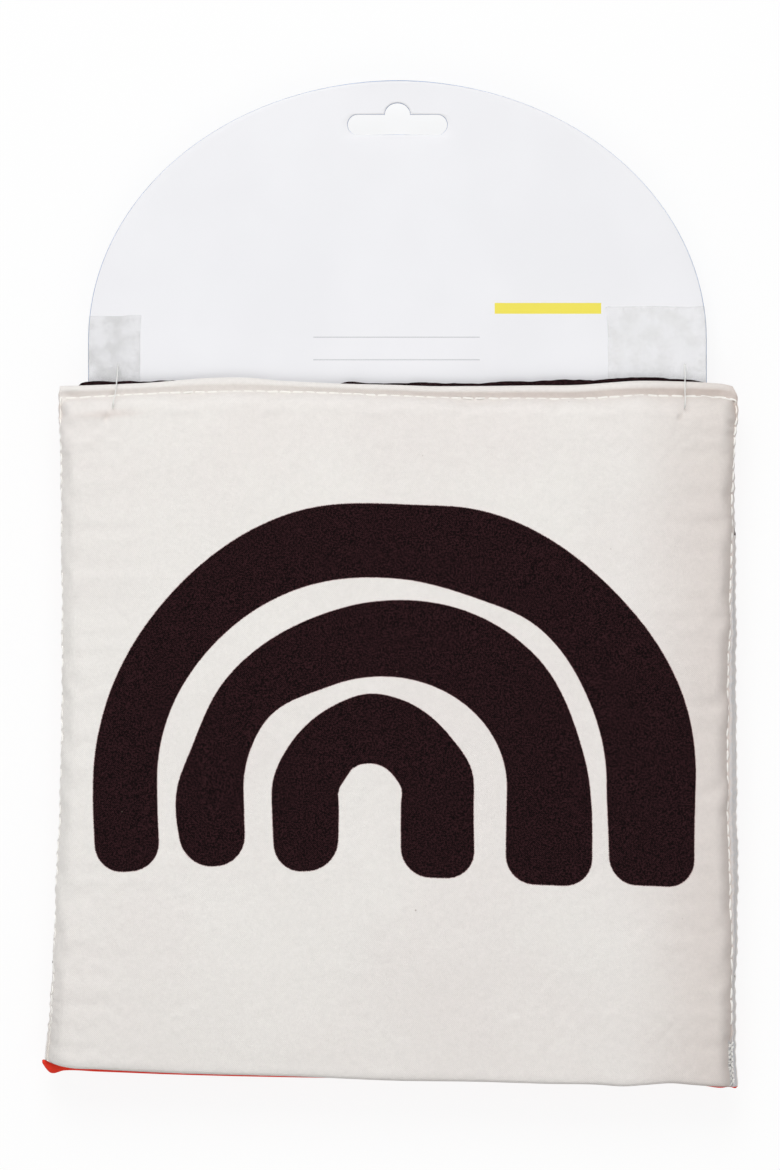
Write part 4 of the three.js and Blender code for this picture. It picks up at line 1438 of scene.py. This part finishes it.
class TOY_OT_tags(Operator):
    """Two tag fasteners: a thin thread up out of the back, over the sewn lip and down through the card"""

    bl_idname = "toy.tags"
    bl_label = "Tag fasteners"

    BAR_HALF, BAR_RADIUS = 4 * MM, 0.55 * MM
    # A thread's route: share of its lean to the side, then the place along and the height in metres
    ROUTE = np.array([
        (0, PIERCE_Y, 19.6 * MM),
        (0, PIERCE_Y, 22.8 * MM),
        (0.1, PIERCE_Y + 0.7 * MM, 24.2 * MM),
        (0.3, PIERCE_Y + 2.4 * MM, 24.0 * MM),
        (0.6, TOP_Y - 3.2 * MM, 19.4 * MM),
        (0.85, TOP_Y + 1.1 * MM, 17.4 * MM),
        (1, HOLE_Y - 0.6 * MM, 15.0 * MM),
        (1, HOLE_Y, 14 * MM),
        (1, HOLE_Y, 11.2 * MM),
    ])

    def execute(self, context):
        card = context.scene.toy_card
        material = Finish(
            "clear_nylon", linear((0.98, 0.98, 0.97)), 0.3, Transmission_Weight=0.3, Specular_IOR_Level=0.6
        ).material
        for name, node, at, lean in (
            ("tag_left", "tag_fastener_left", 0.8 * MM - TAG_AT, 1.1 * MM),
            ("tag_right", "tag_fastener_right", TAG_AT, 0.6 * MM),
        ):
            order = np.arange(len(self.ROUTE), dtype=float)
            spots = np.linspace(0, order[-1], 60)
            path = stacked(*(along(np.stack([order, places], axis=-1), spots) for places in self.ROUTE.T))
            path[:, 0] = at + path[:, 0] * lean
            parts = [tube(path, card.thread / 2, 8, X_AXIS)]
            for x, y, z in ((at, PIERCE_Y, 19.3 * MM), (at + lean, HOLE_Y, 11.0 * MM)):
                bar = stacked(x + np.linspace(-self.BAR_HALF, self.BAR_HALF, 9), y, z)
                parts.append(tube(bar, self.BAR_RADIUS, 10, Z_AXIS))
            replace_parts(new_piece(name, gather(parts), "mirror_panel", "tag_nylon", material), node)
        return {"FINISHED"}


class TOY_OT_stage(Operator):
    """A pale floor, soft even light, and the camera looking down from the photograph's place"""

    bl_idname = "toy.stage"
    bl_label = "Stage"

    def execute(self, context):
        scene = context.scene
        stage = scene.toy_stage
        reach, drop = 4.0, -0.4 * MM
        mesh = bpy.data.meshes.new("floor")
        corners = ((-1, -1), (1, -1), (1, 1), (-1, 1))
        mesh.from_pydata([(x * reach, y * reach, drop) for x, y in corners], [], [range(4)])
        mesh.materials.append(self.paper_floor())
        floor = bpy.data.objects.new("floor", mesh)
        scene.collection.objects.link(floor)
        scene.world = self.studio(stage.world)
        for name, power, size, spot in (
            ("key_lamp", stage.key, 0.8, Vector((-0.12, 0.85, 1.2))),
            ("low_lamp", stage.lamp, 0.5, Vector((-0.03, -0.4, 0.75))),
        ):
            lamp = bpy.data.lights.new(name, "AREA")
            lamp.energy, lamp.size = power, size
            light = bpy.data.objects.new(name, lamp)
            light.location = spot
            light.rotation_euler = spot.to_track_quat("Z", "Y").to_euler()
            light.visible_glossy = False
            scene.collection.objects.link(light)

        camera = bpy.data.cameras.new("camera")
        camera.sensor_width = 36
        camera.lens = camera.sensor_width * stage.distance / stage.view_height
        camera.clip_start, camera.clip_end = 0.05, 20
        eye = bpy.data.objects.new("camera", camera)
        tilt = math.radians(90 - stage.elevation)
        eye.location = Vector(stage.look) + stage.distance * Vector((0, -math.sin(tilt), math.cos(tilt)))
        eye.rotation_euler = (tilt, 0, 0)
        scene.collection.objects.link(eye)
        scene.camera = eye
        scene.view_settings.view_transform = "Standard"
        return {"FINISHED"}

    @staticmethod
    def studio(strength):
        """Even white light of a strength. The camera sees plain white, and gloss and clear film see white
        that greys to 0.4 of it from overhead to the horizon."""
        world = bpy.data.worlds.new("studio")
        n = Nodes(world)
        up = n.axes(n.node("ShaderNodeTexCoord", output="Generated"))["Z"]
        sky = n.spread(up, -0.1, 0.9, 0.4, 1.0)
        reflected = n.math("MAXIMUM", n.ray("Is Glossy Ray"), n.ray("Is Transmission Ray"))
        lit = n.node("ShaderNodeMapRange", {"Value": reflected, "To Min": strength, "To Max": sky})
        background = n.tree.nodes["Background"]
        background.inputs["Color"].default_value = (1, 1, 1, 1)
        n.feed(background.inputs["Strength"], n.math("MAXIMUM", n.ray("Is Camera Ray"), lit))
        return world

    @staticmethod
    def paper_floor():
        """White paper: plain diffuse white, which the camera sees mostly replaced by an even white."""
        n = Finish("paper_floor", (0.93, 0.93, 0.93), 0.9)
        share = n.math("MULTIPLY", n.ray("Is Camera Ray"), 0.89)
        glow = n.node("ShaderNodeEmission", {"Strength": 1.0})
        mixed = n.node("ShaderNodeMixShader", {0: share, 1: n.shader.outputs[0], 2: glow})
        n.feed(n.tree.nodes["Material Output"].inputs["Surface"], mixed)
        return n.material


STEPS = (
    TOY_OT_stage,
    TOY_OT_back_pad,
    TOY_OT_mirror_frame,
    TOY_OT_mirror,
    TOY_OT_flap,
    TOY_OT_fold_roll,
    TOY_OT_stitching,
    TOY_OT_hang_card,
    TOY_OT_tape,
    TOY_OT_tags,
)
GROUPS = {
    "toy_panels": ToyPanelSizes,
    "toy_stitches": ToyStitchSizes,
    "toy_card": ToyCardSizes,
    "toy_colours": ToyColours,
    "toy_stage": ToyStage,
}


class TOY_PT_builder(Panel):
    bl_idname = "TOY_PT_builder"
    bl_label = "Mirror toy"
    bl_space_type = "VIEW_3D"
    bl_region_type = "UI"
    bl_category = "Mirror toy"

    def draw(self, context):
        for key, group in GROUPS.items():
            box = self.layout.box()
            values = getattr(context.scene, key)
            for name in group.__annotations__:
                box.prop(values, name)
        for step in STEPS:
            self.layout.operator(step.bl_idname)


def register():
    for group in GROUPS.values():
        bpy.utils.register_class(group)
    for key, group in GROUPS.items():
        setattr(bpy.types.Scene, key, PointerProperty(type=group))
    for step in (*STEPS, TOY_PT_builder):
        bpy.utils.register_class(step)


def unregister():
    for step in (TOY_PT_builder, *reversed(STEPS)):
        bpy.utils.unregister_class(step)
    for key, group in GROUPS.items():
        delattr(bpy.types.Scene, key)
        bpy.utils.unregister_class(group)


def main():
    register()
    for step in STEPS:
        area, name = step.bl_idname.split(".")
        getattr(getattr(bpy.ops, area), name)()


if __name__ == "__main__":
    main()
